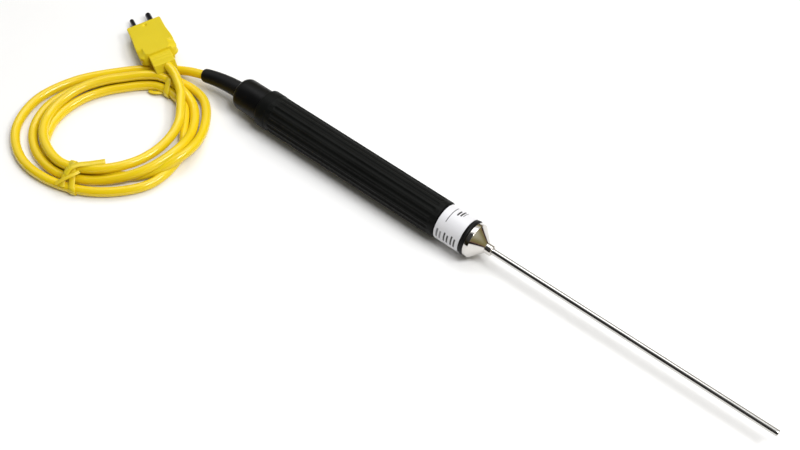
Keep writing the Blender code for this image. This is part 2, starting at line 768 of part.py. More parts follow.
def build_plug_shells(parts, cutters, materials, frame):
    half = plug_outline()
    outline = half + [(x, -y) for x, y in reversed(half)]
    split = plug_thickness / 2
    neck_rear = -plug_length
    neck_front = -plug_body_length + plug_ear_corner
    neck_half = plug_neck_width / 2
    levels = {"plug_base": (0.0, split - gap / 2), "plug_cover": (split + gap / 2, plug_thickness)}
    floors = {"plug_base": (plug_wall, split + gap),
              "plug_cover": (split - gap, plug_thickness - plug_wall)}
    necks = {"plug_base": (plug_neck_step, split - gap / 2),
             "plug_cover": (split + gap / 2, plug_thickness - plug_neck_step)}
    for name in ("plug_base", "plug_cover"):
        shell = slab(name, outline, *levels[name], parts, frame)
        shell.data.materials.append(materials["plug"])
        add_bevel(shell, plug_edge)
        neck = slab(name + "_neck", box_outline(neck_rear, neck_front, -neck_half, neck_half),
                    *necks[name], cutters, frame)
        add_bevel(neck, plug_edge)
        join(shell, as_cutter(neck), "neck")
        pocket_front = -plug_front_wall
        pocket_rear = pocket_front - plug_pocket_length
        side_wall = plug_front_width / 2 - plug_wall
        for side, pole in ((1, "positive"), (-1, "negative")):
            y_low, y_high = sorted((side * plug_rib / 2, side * side_wall))
            sides = box_outline(pocket_rear - gap, pocket_front, y_low, y_high)
            pocket = slab(f"{name}_pocket_{pole}", sides, *floors[name], cutters, frame)
            cut(shell, as_cutter(pocket), "pocket_" + pole)
        gallery = slab(name + "_gallery", box_outline(pocket_rear - plug_gallery_length, pocket_rear,
                                                      -side_wall, side_wall),
                       *floors[name], cutters, frame)
        cut(shell, as_cutter(gallery), "gallery")
        for side in (-1, 1):
            hollow_name = f"{name}_recess_{'left' if side > 0 else 'right'}"
            cut(shell, grip_recess(hollow_name, side, cutters, frame), "recess")
        if name == "plug_cover":
            cut(shell, dimple(cutters, frame), "dimple")
        for piece_name in plug_bores(cutters, frame, name):
            cut(shell, bpy.data.objects[piece_name], piece_name)


def grip_recess(name, side, cutters, frame):
    # A shallow round hollow for the finger on each ear.
    shape = bmesh.new()
    add_ball(shape, plug_grip_radius, "recess")
    flatten = Matrix.Diagonal((1.0, 1.0, plug_grip_flatness, 1.0))
    bmesh.ops.transform(shape, matrix=flatten, verts=shape.verts)
    mesh = bpy.data.meshes.new(name)
    shape.to_mesh(mesh)
    shape.free()
    recess = as_cutter(add_object(name, mesh, cutters))
    recess.parent = frame
    reach = plug_ear_width / 2 + plug_grip_radius - plug_grip_depth
    recess.location = (-plug_grip_station, side * reach, plug_thickness / 2)
    return recess


def dimple(cutters, frame):
    # A small round hollow in the top between the pins.
    shape = bmesh.new()
    add_ball(shape, plug_dimple_radius, "dimple")
    mesh = bpy.data.meshes.new("plug_dimple")
    shape.to_mesh(mesh)
    shape.free()
    hollow = as_cutter(add_object("plug_dimple", mesh, cutters))
    hollow.parent = frame
    hollow.location = (-plug_dimple_station, 0.0, plug_thickness + plug_dimple_radius - plug_dimple_depth)
    return hollow


def plug_bores(cutters, frame, shell_name):
    # The holes that both shells share: for the pins, the cable and the screw.
    split = plug_thickness / 2
    names = []
    for side, pole in ((1, "positive"), (-1, "negative")):
        radius = pin_diameters[pole] / 2 + gap
        name = f"{shell_name}_pin_hole_{pole}"
        end = -plug_front_wall - gap
        profile = [(gap, 0.0), (gap, radius), (end, radius), (end, 0.0)]
        y = side * pin_spacing / 2
        as_cutter(turned(name, profile, cutters, None, steps=steps_bore, ring=False, y=y, parent=frame))
        names.append(name)
    rear = -plug_length
    front = -(plug_front_wall + plug_pocket_length + plug_gallery_length)
    radius = cable_radius + gap
    name = shell_name + "_cable_hole"
    profile = [(front + gap, 0.0), (front + gap, radius), (rear - gap, radius), (rear - gap, 0.0)]
    as_cutter(turned(name, profile, cutters, None, steps=steps_bore, ring=False, parent=frame))
    names.append(name)
    name = shell_name + "_screw_hole"
    head = screw_head_diameter / 2 + gap
    shank = screw_diameter / 2 + gap
    profile = [(screw_reach + gap, 0.0), (screw_reach + gap, shank), (screw_head_height + gap, shank),
               (screw_head_height + gap, head), (-gap, head), (-gap, 0.0)]
    hole = as_cutter(turned(name, profile, cutters, None, steps=steps_bore, ring=False, parent=frame))
    hole.rotation_euler = (0.0, 0.0, 0.0)
    hole.location = (-screw_station, 0.0, split - plug_thickness / 2)
    names.append(name)
    return names


def build_plug_inside(parts, materials, frame):
    level = plug_thickness / 2
    cable_front = -plug_length + cable_in_plug
    for side, pole in ((1, "positive"), (-1, "negative")):
        radius = pin_diameters[pole] / 2
        flange = radius + pin_flange
        flange_front = -plug_front_wall - gap
        flange_rear = flange_front - pin_flange_length
        profile = arc(pin_reach - radius, 0.0, radius, 0, 90)
        profile += [(flange_front, radius), (flange_front, flange), (flange_rear, flange)]
        profile += [(flange_rear, radius), (-pin_tail, radius), (-pin_tail, 0.0)]
        y = side * pin_spacing / 2
        turned("pin_" + pole, profile, parts, materials["pin"], steps=steps_bore, ring=False, y=y,
               parent=frame)
        path = [Vector((cable_front + gap, side * core_spacing / 2, level)),
                Vector((cable_front + wire_straight, side * (core_spacing / 2 + wire_spread), level)),
                Vector((-pin_tail - wire_straight, y, level)), Vector((-pin_tail - gap, y, level))]
        tube("plug_core_" + pole, smooth_route(path, route_spacing), parts, materials["core_" + pole],
             core_diameter / 2, "wire", parent=frame)
    cable_end = [Vector((-plug_length, 0.0, level)), Vector((cable_front, 0.0, level))]
    tube("plug_cable_end", cable_end, parts, materials["cable"], cable_radius, "cable", parent=frame)
    head = screw_head_diameter / 2
    shank = screw_diameter / 2
    profile = [(screw_reach, 0.0), (screw_reach, shank), (screw_head_height, shank),
               (screw_head_height, head), (gap, head), (gap, 0.0)]
    screw = turned("cover_screw", profile, parts, materials["steel"], steps=steps_wire, ring=False,
                   parent=frame)
    screw.rotation_euler = (0.0, 0.0, 0.0)
    screw.location = (-screw_station, 0.0, 0.0)


def build():
    clear_scene()
    parts = make_collection("thermocouple_probe")
    cutters = make_collection("cutters")
    materials = {
        "steel": make_material("stainless steel", (0.62, 0.61, 0.60), 0.22, 1.0),
        "nickel": make_material("polished nickel", (0.66, 0.64, 0.61), 0.14, 1.0),
        "mineral": make_material("packed magnesia", (0.82, 0.81, 0.78), 0.9),
        "rubber": make_material("black rubber", (0.012, 0.012, 0.013), 0.5),
        "band": make_material("white film", (0.84, 0.84, 0.85), 0.35),
        "plastic": make_material("black plastic", (0.015, 0.015, 0.016), 0.4),
        "grip": make_material("black grip plastic", (0.013, 0.014, 0.014), 0.45),
        "brass": make_material("plated brass", (0.72, 0.60, 0.36), 0.3, 1.0),
        "ceramic": make_material("white ceramic", (0.80, 0.78, 0.72), 0.6),
        "cable": make_material("yellow cable jacket", (0.85, 0.60, 0.02), 0.3),
        "core_positive": make_material("yellow core", (0.85, 0.65, 0.05), 0.4),
        "core_negative": make_material("red core", (0.60, 0.03, 0.02), 0.4),
        "lead": make_material("bare alloy wire", (0.55, 0.53, 0.50), 0.3, 1.0),
        "tie": make_material("yellow tie", (0.86, 0.68, 0.05), 0.4),
        "plug": make_material("yellow plug plastic", (0.80, 0.62, 0.02), 0.4),
        "pin": make_material("dark pin metal", (0.02, 0.02, 0.03), 0.3, 0.6),
    }
    build_sheath(parts, materials)
    build_nose(parts, materials)
    build_seal(parts, materials)
    build_body_tube(parts, materials)
    build_grip(parts, cutters, materials)
    build_cap(parts, materials)
    build_relief(parts, cutters, materials)
    build_stop(parts, materials)
    build_inner_cable(parts, materials)
    build_wires(parts, cutters, materials)
    build_free_cable(parts, materials)
    coil = coil_frame(parts)
    build_coil(parts, materials, coil)
    build_ties(parts, cutters, materials, coil)
    plug = plug_frame(parts)
    build_plug_shells(parts, cutters, materials, plug)
    build_plug_inside(parts, materials, plug)


build()
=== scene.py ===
import math

import bpy
import numpy as np
from mathutils import Matrix, Vector


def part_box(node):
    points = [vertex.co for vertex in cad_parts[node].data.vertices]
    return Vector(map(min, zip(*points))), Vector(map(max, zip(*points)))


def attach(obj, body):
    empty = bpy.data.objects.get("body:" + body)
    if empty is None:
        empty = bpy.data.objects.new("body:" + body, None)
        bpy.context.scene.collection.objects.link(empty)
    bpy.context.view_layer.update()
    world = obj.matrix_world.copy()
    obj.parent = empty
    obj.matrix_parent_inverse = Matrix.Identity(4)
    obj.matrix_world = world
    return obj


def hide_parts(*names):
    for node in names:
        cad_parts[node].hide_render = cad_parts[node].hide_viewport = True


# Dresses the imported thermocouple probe: smooth surfaces, its cable laid turn by turn, materials and
# a studio. Sizes are in millimetres and are turned to metres where a mesh, a light or a pattern is
# made.

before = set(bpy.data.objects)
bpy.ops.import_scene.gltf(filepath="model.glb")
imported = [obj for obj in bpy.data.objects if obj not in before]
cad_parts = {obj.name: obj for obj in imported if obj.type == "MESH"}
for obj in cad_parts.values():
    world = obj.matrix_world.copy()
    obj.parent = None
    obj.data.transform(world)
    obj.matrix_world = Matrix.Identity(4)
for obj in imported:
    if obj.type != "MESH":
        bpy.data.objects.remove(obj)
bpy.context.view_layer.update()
mm = 0.001

gripLow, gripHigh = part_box("grip_sleeve")
capLow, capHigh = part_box("rear_cap")
gripFront = gripHigh.x / mm                     # x of the grip's front end; stations count from it
axisZ = (gripLow.z + gripHigh.z) / 2 / mm       # height of the probe's axis
print("frame loaded:", len(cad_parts), "nodes")

camera = {"target": (-28.3, -9.6, 0.0), "azimuth": 39.215, "elevation": 53.0, "distance": 549.7,
          "lens": 50.0, "sensor": 36.0, "clip": (10.0, 50000.0)}


def fromTarget(azimuth, elevation, distance):
    # A place this far from the camera's target: azimuth 0 stands on the -Y side, 90 on the +X side.
    a, e = math.radians(azimuth), math.radians(elevation)
    way = np.array([math.sin(a) * math.cos(e), -math.cos(a) * math.cos(e), math.sin(e)])
    return np.array(camera["target"]) + distance * way


def lookFrom(thing, place):
    # Puts a camera or a lamp at a place, facing the target.
    thing.location = tuple(place * mm)
    toTarget = Vector(np.array(camera["target"]) - place)
    thing.rotation_euler = toTarget.to_track_quat("-Z", "Y").to_euler()
    bpy.context.scene.collection.objects.link(thing)


cameraData = bpy.data.cameras.new("camera")
cameraData.lens, cameraData.sensor_width = camera["lens"], camera["sensor"]
cameraData.clip_start, cameraData.clip_end = (edge * mm for edge in camera["clip"])
cameraPiece = bpy.data.objects.new("camera", cameraData)
lookFrom(cameraPiece, fromTarget(camera["azimuth"], camera["elevation"], camera["distance"]))
bpy.context.scene.camera = cameraPiece
print("camera set")


def gridFaces(rows, columns, closedAlong):
    # Quad (i, j) joins four neighbours of the grid; columns run round and close, rows close where
    # asked.
    i = np.arange(rows if closedAlong else rows - 1)[:, None]
    j = np.arange(columns)[None, :]
    following, beside = (i + 1) % rows, (j + 1) % columns
    corners = [i * columns + j, i * columns + beside, following * columns + beside,
               following * columns + j]
    return np.stack(corners, -1).reshape(-1, 4)


def closedGrid(grid, closedAlong):
    # Points, quads and end triangles of one closed shell: an open end gets a fan to the middle of
    # its ring. The sum over the quads of middle times normal has the sign of the volume, and turns
    # the faces outwards.
    rows, columns = grid.shape[:2]
    points, fans = grid.reshape(-1, 3), np.empty((0, 3), int)
    quads = gridFaces(rows, columns, closedAlong)
    if not closedAlong:
        points = np.vstack([points, grid[0].mean(0), grid[-1].mean(0)])
        j = np.arange(columns)
        beside, last, middle = (j + 1) % columns, (rows - 1) * columns, np.full(columns, rows * columns)
        fans = np.vstack([np.stack([beside, j, middle], -1),
                          np.stack([last + j, last + beside, middle + 1], -1)])
    corners = points[quads] - points.mean(0)
    normals = np.cross(corners[:, 2] - corners[:, 0], corners[:, 3] - corners[:, 1])
    if (normals * corners.mean(1)).sum() < 0:
        quads, fans = quads[:, ::-1], fans[:, ::-1]
    return points, quads, fans


def makePiece(name, shells, finish, nodes, sharp=40.0, marks=None):
    # A mesh of one or more closed shells, each a grid of points and whether its rows close. It
    # rides on the part's one body and stands for these CAD nodes. Edges past the sharp angle stay
    # crisp. Marks are values that the material reads at each point, given for the grid of a single
    # shell.
    points, faces, count = [], [], 0
    for grid, closedAlong in shells:
        shellPoints, quads, fans = closedGrid(grid, closedAlong)
        points.append(shellPoints)
        faces += (quads + count).tolist() + (fans + count).tolist()
        count += len(shellPoints)
    points = np.vstack(points)
    points[:, 2] = np.maximum(points[:, 2], 0)      # nothing sinks into the table
    mesh = bpy.data.meshes.new(name)
    mesh.from_pydata((points * mm).tolist(), [], faces)
    mesh.shade_smooth()
    mesh.set_sharp_from_angle(angle=math.radians(sharp))
    for key, values in (marks or {}).items():
        size, kind, field = (3, "FLOAT_VECTOR", "vector") if values.ndim == 3 else (1, "FLOAT", "value")
        flat = values.reshape(-1, size)
        middles = np.repeat(flat[-1:], len(points) - len(flat), 0)      # the fans take the last value
        flat = np.vstack([flat, middles])
        mesh.attributes.new(key, kind, "POINT").data.foreach_set(field, flat.astype(np.float32).ravel())
    mesh.materials.append(materials[finish])
    piece = bpy.data.objects.new(name, mesh)
    bpy.context.scene.collection.objects.link(piece)
    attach(piece, "root")
    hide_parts(*nodes)
    return piece


def ringGrid(centres, radii, side, up):
    # Point (i, j) = centre i + radius (i, j) times (cos a side + sin a up), with a running round
    # the ring.
    a = np.linspace(0, math.tau, radii.shape[1], endpoint=False)
    ring = np.cos(a)[None, :, None] * side[:, None, :] + np.sin(a)[None, :, None] * up[:, None, :]
    return centres[:, None, :] + radii[:, :, None] * ring


def turnedGrid(profile, columns):
    # The profile of (station, radius) turned about the probe's axis; a radius may also differ round
    # the ring.
    stations = np.array([station for station, radius in profile], float)
    radii = np.array([np.broadcast_to(radius, columns) for station, radius in profile], float)
    rows = len(stations)
    centres = np.stack([gripFront + stations, np.zeros(rows), np.full(rows, axisZ)], -1)
    side, up = (np.tile(way, (rows, 1)) for way in ([0.0, 1.0, 0.0], [0.0, 0.0, 1.0]))
    return ringGrid(centres, radii, side, up)


def roundOver(station, radius, size, start, end, count=6):
    # Points of an arc in a profile: centre plus size (cos a, sin a), a in degrees from +station to
    # +radius.
    a = np.radians(np.linspace(start, end, count))
    return list(zip(station + size * np.cos(a), radius + size * np.sin(a)))


def crossways(along):
    # Directions to the side of a path and above it, from the way it goes; the path never stands
    # upright.
    along = along / np.linalg.norm(along, axis=1, keepdims=True)
    side = np.cross(along, [0.0, 0.0, 1.0])
    side /= np.linalg.norm(side, axis=1, keepdims=True)
    return side, np.cross(side, along)


def smoothPath(places, spacing):
    # Catmull-Rom curve through the places: each span is a cubic whose end slopes follow the
    # neighbours, drawn with 40 points. Its points are then spread an even distance apart.
    p = np.asarray(places, float)
    p = np.vstack([2 * p[0] - p[1], p, 2 * p[-1] - p[-2]])
    t = np.linspace(0, 1, 40, endpoint=False)[None, :, None]
    before, start, end, after = (p[k:len(p) - 3 + k, None, :] for k in range(4))
    spans = 0.5 * (2 * start + (end - before) * t + (2 * before - 5 * start + 4 * end - after) * t ** 2
                   + (3 * start - before - 3 * end + after) * t ** 3)
    path = np.vstack([spans.reshape(-1, 3), p[-2]])
    reach = np.concatenate([[0], np.cumsum(np.linalg.norm(np.diff(path, axis=0), axis=1))])
    wanted = np.linspace(0, reach[-1], max(2, round(reach[-1] / spacing) + 1))
    return np.stack([np.interp(wanted, reach, path[:, k]) for k in range(3)], -1)


def stripGrid(path, across, facing, width, thickness):
    # A flat strip with bevelled edges carried along a path: point (i, j) = path i + u j across i +
    # v j facing i, where (u, v) runs once round the strip's section.
    w, t, bevel = width / 2, thickness / 2, 0.35 * thickness
    section = np.array([(-w, t - bevel), (-w, bevel - t), (bevel - w, -t), (w - bevel, -t),
                        (w, bevel - t), (w, t - bevel), (w - bevel, t), (bevel - w, t)])
    u, v = section[None, :, :1], section[None, :, 1:]
    return path[:, None, :] + u * across[:, None, :] + v * facing[:, None, :]


def ribbonGrid(path, width, thickness):
    # A strip that faces up: facing is up less its share along the path, and across is square to
    # both.
    along = np.gradient(path, axis=0)
    up = np.tile([0.0, 0.0, 1.0], (len(path), 1))
    facing = up - along * ((up * along).sum(1) / (along * along).sum(1))[:, None]
    facing /= np.linalg.norm(facing, axis=1, keepdims=True)
    across = np.cross(facing, along)
    across /= np.linalg.norm(across, axis=1, keepdims=True)
    return stripGrid(path, across, facing, width, thickness)


def linear(code):
    # sRGB hex to linear: c / 12.92 below 0.04045, else ((c + 0.055) / 1.055) to the power 2.4.
    c = np.array([int(code[k:k + 2], 16) / 255 for k in (0, 2, 4)])
    return (*np.where(c <= 0.04045, c / 12.92, ((c + 0.055) / 1.055) ** 2.4), 1.0)


def addNode(tree, kind, settings=None, links=None):
    # Adds a node; settings are its properties or its sockets' values, links the outputs that feed
    # its sockets.
    node = tree.nodes.new("ShaderNode" + kind)
    for key, value in (settings or {}).items():
        if isinstance(key, str) and hasattr(node, key):
            setattr(node, key, value)
        else:
            node.inputs[key].default_value = value
    for key, output in (links or {}).items():
        tree.links.new(output, node.inputs[key])
    return node


def blankMaterial(name):
    # A node material with nothing in it yet; a colour's Mix has sockets 0, 6 and 7 and its colour
    # at output 2.
    material = bpy.data.materials.new(name)
    material.use_nodes = True
    material.node_tree.nodes.clear()
    return material, material.node_tree


# Pattern sizes below are in millimetres, and 1 / size is the features per metre that a noise takes.
# Drift is the size of the slow clouds, grain that of the fine skin, and depth how far the skin
# rises.
plastics = {
    # Matte black nylon, injection moulded in a spark-eroded tool: hardly any sheen, paler where
    # hands rub its ridges. The real 0.1 mm grain is too fine to show, so it is drawn at 0.6 mm.
    "grip": {"name": "moulded black nylon", "dark": "0b0c0b", "light": "121312", "rubbed": "202120",
             "index": 1.53, "specular": 0.06, "gloss": (0.40, 0.52), "drift": 14.0, "grain": 0.6,
             "depth": 0.02},
    # Satin black ABS, moulded in a polished tool: deeper black, clearer highlights. Its grain is
    # drawn coarse.
    "plastic": {"name": "moulded black ABS", "dark": "090909", "light": "0f0f10", "index": 1.53,
                "specular": 0.09, "gloss": (0.30, 0.40), "drift": 12.0, "grain": 0.8, "depth": 0.01},
    # Black PVC and rubber, moulded: dull, with a bloom that drifts over the surface.
    "rubber": {"name": "moulded black PVC", "dark": "080809", "light": "121213", "index": 1.52,
               "specular": 0.16, "gloss": (0.38, 0.50), "drift": 9.0, "grain": 0.7, "depth": 0.015},
    # Yellow PVC jacket, extruded: wet-looking gloss that lets light in a little, and drawn lines
    # along it, whose noise is stretched by this share. The real lines are 0.2 mm apart and are
    # drawn 1.4 mm apart.
    "cable": {"name": "extruded yellow PVC", "dark": "e2c214", "light": "ecd020", "index": 1.53,
              "specular": 0.45, "gloss": (0.06, 0.11), "drift": 25.0, "grain": 1.4, "depth": 0.012,
              "glow": 0.30, "stretch": 0.04},
    # Yellow nylon strip, extruded and cut: a soft satin face.
    "tie": {"name": "extruded yellow nylon", "dark": "dcbe18", "light": "e8ce2c", "index": 1.53,
            "specular": 0.45, "gloss": (0.24, 0.34), "drift": 6.0, "grain": 0.8, "depth": 0.015,
            "glow": 0.30},
    # Yellow glass-filled nylon, moulded: a lemon tone, satin, with faint flow clouds from the gate.
    "plug": {"name": "moulded yellow nylon", "dark": "dac21a", "light": "e2cc24", "index": 1.54,
             "specular": 0.22, "gloss": (0.36, 0.46), "drift": 16.0, "grain": 0.9, "depth": 0.012,
             "glow": 0.15},
    # Unglazed ceramic, pressed and fired: chalky and almost without gloss.
    "ceramic": {"name": "fired ceramic", "dark": "d8d2c4", "light": "e8e4da", "index": 1.6,
                "specular": 0.4, "gloss": (0.6, 0.75), "drift": 4.0, "grain": 0.5, "depth": 0.02},
    # Red PVC core insulation, extruded: a plain glossy skin.
    "redCore": {"name": "extruded red PVC", "dark": "a81810", "light": "c02418", "index": 1.53,
                "specular": 0.5, "gloss": (0.25, 0.35), "drift": 8.0, "grain": 0.8, "depth": 0.01},
}
pattern = {"driftDetail": 4.0, "grainDetail": 2.0, "noiseLow": 0.3, "noiseHigh": 0.7,
           "plasticLift": 0.6, "metalLift": 0.5, "glowDepth": 2.0, "glowColours": (1.0, 0.75, 0.12)}


def driftOver(tree, place, look):
    # One slow noise moves the tone between its two colours and the roughness between its two
    # values.
    drift = addNode(tree, "TexNoise",
                    {"Scale": 1 / (look["drift"] * mm), "Detail": pattern["driftDetail"]},
                    {"Vector": place}).outputs["Fac"]
    tone = addNode(tree, "Mix",
                   {"data_type": "RGBA", 6: linear(look["dark"]), 7: linear(look["light"])},
                   {0: drift}).outputs[2]
    gloss = addNode(tree, "MapRange",
                    {"From Min": pattern["noiseLow"], "From Max": pattern["noiseHigh"],
                     "To Min": look["gloss"][0], "To Max": look["gloss"][1]},
                    {"Value": drift}).outputs["Result"]
    return drift, tone, gloss


def fineSkin(tree, place, look, strength):
    # A fine noise lifts the skin by up to its depth.
    grain = addNode(tree, "TexNoise",
                    {"Scale": 1 / (look["grain"] * mm), "Detail": pattern["grainDetail"]},
                    {"Vector": place})
    return addNode(tree, "Bump", {"Distance": look["depth"] * mm, "Strength": strength},
                   {"Height": grain.outputs["Fac"]}).outputs["Normal"]


def plasticFinish(look):
    # Pigment and gloss drift together over the piece. Rubbed ridges and drawn lines come where
    # asked.
    material, tree = blankMaterial(look["name"])
    place = addNode(tree, "TexCoord").outputs["Object"]
    drift, tone, gloss = driftOver(tree, place, look)
    if "rubbed" in look:
        worn = addNode(tree, "Attribute", {"attribute_name": "rubbed"}).outputs["Fac"]
        patchy = addNode(tree, "Math", {"operation": "MULTIPLY"}, {0: worn, 1: drift}).outputs[0]
        tone = addNode(tree, "Mix", {"data_type": "RGBA", 7: linear(look["rubbed"])},
                       {0: patchy, 6: tone}).outputs[2]
    if "stretch" in look:
        straight = addNode(tree, "Attribute", {"attribute_name": "straight"}).outputs["Vector"]
        place = addNode(tree, "Mapping", {"Scale": (look["stretch"], 1.0, 1.0)},
                        {"Vector": straight}).outputs["Vector"]
    skin = fineSkin(tree, place, look, pattern["plasticLift"])
    shader = addNode(tree, "BsdfPrincipled",
                     {"IOR": look["index"], "Specular IOR Level": look["specular"],
                      "Subsurface Weight": look.get("glow", 0.0),
                      "Subsurface Scale": pattern["glowDepth"] * mm,
                      "Subsurface Radius": pattern["glowColours"]},
                     {"Base Color": tone, "Roughness": gloss, "Normal": skin})
    addNode(tree, "OutputMaterial", links={"Surface": shader.outputs["BSDF"]})
    return material


metals = {
    # Nickel-plated brass, turned and polished: near mirror, with faint rings from the tool round
    # its axis. The rings are 0.05 mm apart in fact and are drawn 0.3 mm apart.
    "nickel": {"name": "polished nickel plate", "dark": "c4c1bd", "light": "dad7d3",
               "gloss": (0.06, 0.12), "drift": 7.0, "grain": 0.3, "squeeze": (1.0, 0.03, 0.03),
               "depth": 0.003},
    # Stainless tube, cold drawn: bright, with hair lines along its length, 0.05 mm wide in fact,
    # here 0.3 mm.
    "steel": {"name": "drawn stainless steel", "dark": "b8b7b4", "light": "d2d0cd",
              "gloss": (0.10, 0.18), "drift": 12.0, "grain": 0.3, "squeeze": (0.02, 1.0, 1.0),
              "depth": 0.003},
    # Thermocouple alloy pins, turned and oxidised in firing: blue-black, half dull.
    "pin": {"name": "oxidised alloy", "dark": "16141e", "light": "2a2838", "gloss": (0.26, 0.36),
            "drift": 3.0, "grain": 0.4, "squeeze": (1.0, 1.0, 1.0), "depth": 0.004},
    # Brass crimps and stop, turned: warm, brushed round.
    "brass": {"name": "turned brass", "dark": "b8954c", "light": "d0b070", "gloss": (0.22, 0.32),
              "drift": 4.0, "grain": 0.3, "squeeze": (1.0, 0.1, 0.1), "depth": 0.004},
}


def metalFinish(look):
    # Smears from handling change tone and gloss slowly. Tool marks are a fine noise squeezed along
    # one way.
    material, tree = blankMaterial(look["name"])
    place = addNode(tree, "TexCoord").outputs["Object"]
    drift, tone, gloss = driftOver(tree, place, look)
    squeezed = addNode(tree, "Mapping", {"Scale": look["squeeze"]}, {"Vector": place}).outputs["Vector"]
    skin = fineSkin(tree, squeezed, look, pattern["metalLift"])
    shader = addNode(tree, "BsdfPrincipled", {"Metallic": 1.0},
                     {"Base Color": tone, "Roughness": gloss, "Normal": skin})
    addNode(tree, "OutputMaterial", links={"Surface": shader.outputs["BSDF"]})
    return material


# White vinyl film, screen printed: an even satin white whose ink bars sit flat. The bars are
# generic marks, given as rear and front station, start and end angle from the top towards +Y, and
# ink.
label = {"name": "printed white vinyl", "film": "dedee1", "shade": "d8d8dc", "cloud": 5.0,
         "detail": 3.0, "depth": 0.01, "lift": 0.3, "gloss": 0.32, "index": 1.5, "specular": 0.4,
         "bars": [
             (4.4, 4.85, -32, 36, "5a5a5e"),
             (6.8, 7.6, 4, 30, "1c1c1e"), (8.3, 9.1, 8, 42, "1c1c1e"), (9.7, 10.1, 12, 46, "5a5a5e"),
             (2.0, 3.0, -95, -62, "6a6a6e"), (3.9, 4.9, -95, -66, "8a8a8e"),
             (6.4, 7.3, -95, -62, "2a2a2c"), (8.2, 9.1, -95, -66, "2a2a2c"),
             (10.5, 11.4, -95, -60, "3a3a3c"), (12.3, 13.2, -95, -64, "3a3a3c"),
         ]}


def labelFinish():
    # A bar shows where the station and the angle round the axis are both within half its size of
    # its middle.
    material, tree = blankMaterial(label["name"])
    place = addNode(tree, "TexCoord").outputs["Object"]
    split = addNode(tree, "SeparateXYZ", links={"Vector": place})
    height = addNode(tree, "Math", {"operation": "SUBTRACT", 1: axisZ * mm}, {0: split.outputs["Z"]})
    angle = addNode(tree, "Math", {"operation": "ARCTAN2"},
                    {0: split.outputs["Y"], 1: height.outputs[0]})
    cloud = addNode(tree, "TexNoise", {"Scale": 1 / (label["cloud"] * mm), "Detail": label["detail"]},
                    {"Vector": place})
    colour = addNode(tree, "Mix",
                     {"data_type": "RGBA", 6: linear(label["film"]), 7: linear(label["shade"])},
                     {0: cloud.outputs["Fac"]}).outputs[2]
    for rear, front, start, end, ink in label["bars"]:
        station = addNode(tree, "Math",
                          {"operation": "COMPARE", 1: (gripFront + (rear + front) / 2) * mm,
                           2: (front - rear) / 2 * mm}, {0: split.outputs["X"]})
        turn = addNode(tree, "Math",
                       {"operation": "COMPARE", 1: math.radians((start + end) / 2),
                        2: math.radians(end - start) / 2}, {0: angle.outputs[0]})
        both = addNode(tree, "Math", {"operation": "MULTIPLY"},
                       {0: station.outputs[0], 1: turn.outputs[0]})
        colour = addNode(tree, "Mix", {"data_type": "RGBA", 7: linear(ink)},
                         {0: both.outputs[0], 6: colour}).outputs[2]
    bump = addNode(tree, "Bump", {"Distance": label["depth"] * mm, "Strength": label["lift"]},
                   {"Height": cloud.outputs["Fac"]})
    shader = addNode(tree, "BsdfPrincipled", {"IOR": label["index"], "Roughness": label["gloss"],
                                              "Specular IOR Level": label["specular"]},
                     {"Base Color": colour, "Normal": bump.outputs["Normal"]})
    addNode(tree, "OutputMaterial", links={"Surface": shader.outputs["BSDF"]})
    return material


materials = {key: plasticFinish(look) for key, look in plastics.items()}
materials |= {key: metalFinish(look) for key, look in metals.items()}
materials["band"] = labelFinish()
print("materials made:", len(materials))


capRear = capLow.x / mm - gripFront
relief = {"root": 4.6, "end": 3.85, "reach": 25.5, "sideBend": 2.6, "drop": 2.0, "nose": 2.6,
          "inside": 3.0, "bore": 2.62, "rim": 3.3, "firstAngle": 8.0, "mouth": 0.2,
          "rows": {"outer": 24, "nose": 12, "inner": 14}, "sides": 64}


def reliefPlace(distance):
    # The line bends by the square of its distance behind the cap, to one side and down.
    distance = np.asarray(distance, float)
    share = np.maximum(distance / relief["reach"], 0)
    return np.stack([gripFront + capRear - distance, -relief["sideBend"] * share ** 2,
                     axisZ - relief["drop"] * share ** 2], -1)


cableExit = reliefPlace(relief["reach"])
cable = {"diameter": 5.0, "length": 1010.0, "centre": (-15.0, -55.7), "turned": 39.2,
         "halfLength": 42.1, "halfWidth": 36.3, "firstAngle": 90.0, "step": 30.0, "spacing": 1.2,
         "sides": 32, "insideRelief": 3.0, "insidePlug": 5.0}
leadIn = [(-9.0, -1.9, 6.6), (-15.1, -3.3, 4.7), (-19.8, -5.0, 3.6), (-25.1, -8.6, 2.6),
          (-31.2, -12.6, 2.5)]
# Where each turn lies: outward from the oval, and height, at every 30 degrees from the far side on.
turns = [
    [(6.7, 2.5), (5.4, 2.5), (7.2, 2.5), (7.6, 2.5), (6.7, 2.5), (5.8, 2.5),
     (7.2, 2.5), (8.4, 2.5), (2.6, 2.5), (-3.4, 2.5), (-0.8, 2.5), (-0.7, 2.5)],
    [(-8.0, 2.5), (-10.9, 2.5), (-11.6, 2.5), (-10.0, 2.5), (-6.4, 2.5), (-6.7, 2.5),
     (-7.0, 2.5), (0.7, 3.1), (6.9, 7.2), (7.2, 2.8), (10.7, 2.5), (7.7, 2.5)],
    [(-0.7, 2.5), (-1.9, 2.5), (-1.6, 2.5), (-1.8, 2.5), (-1.8, 2.5), (-0.7, 2.5),
     (-1.3, 2.6), (1.2, 6.4), (2.0, 7.7), (1.5, 3.1), (4.2, 2.8), (3.6, 6.7)],
    [(-3.9, 6.8), (-6.5, 6.5), (-8.0, 5.7), (-8.3, 6.2), (-7.5, 7.0), (-4.9, 7.0),
     (-5.9, 7.0), (-7.3, 6.5), (-7.8, 6.2), (-5.7, 7.0), (-0.8, 8.1)],
]
leadOut = [(35.2, 21.5, 8.8), (33.6, 26.5, 9.9), (31.4, 31.5, 10.8)]    # on the oval's own axes
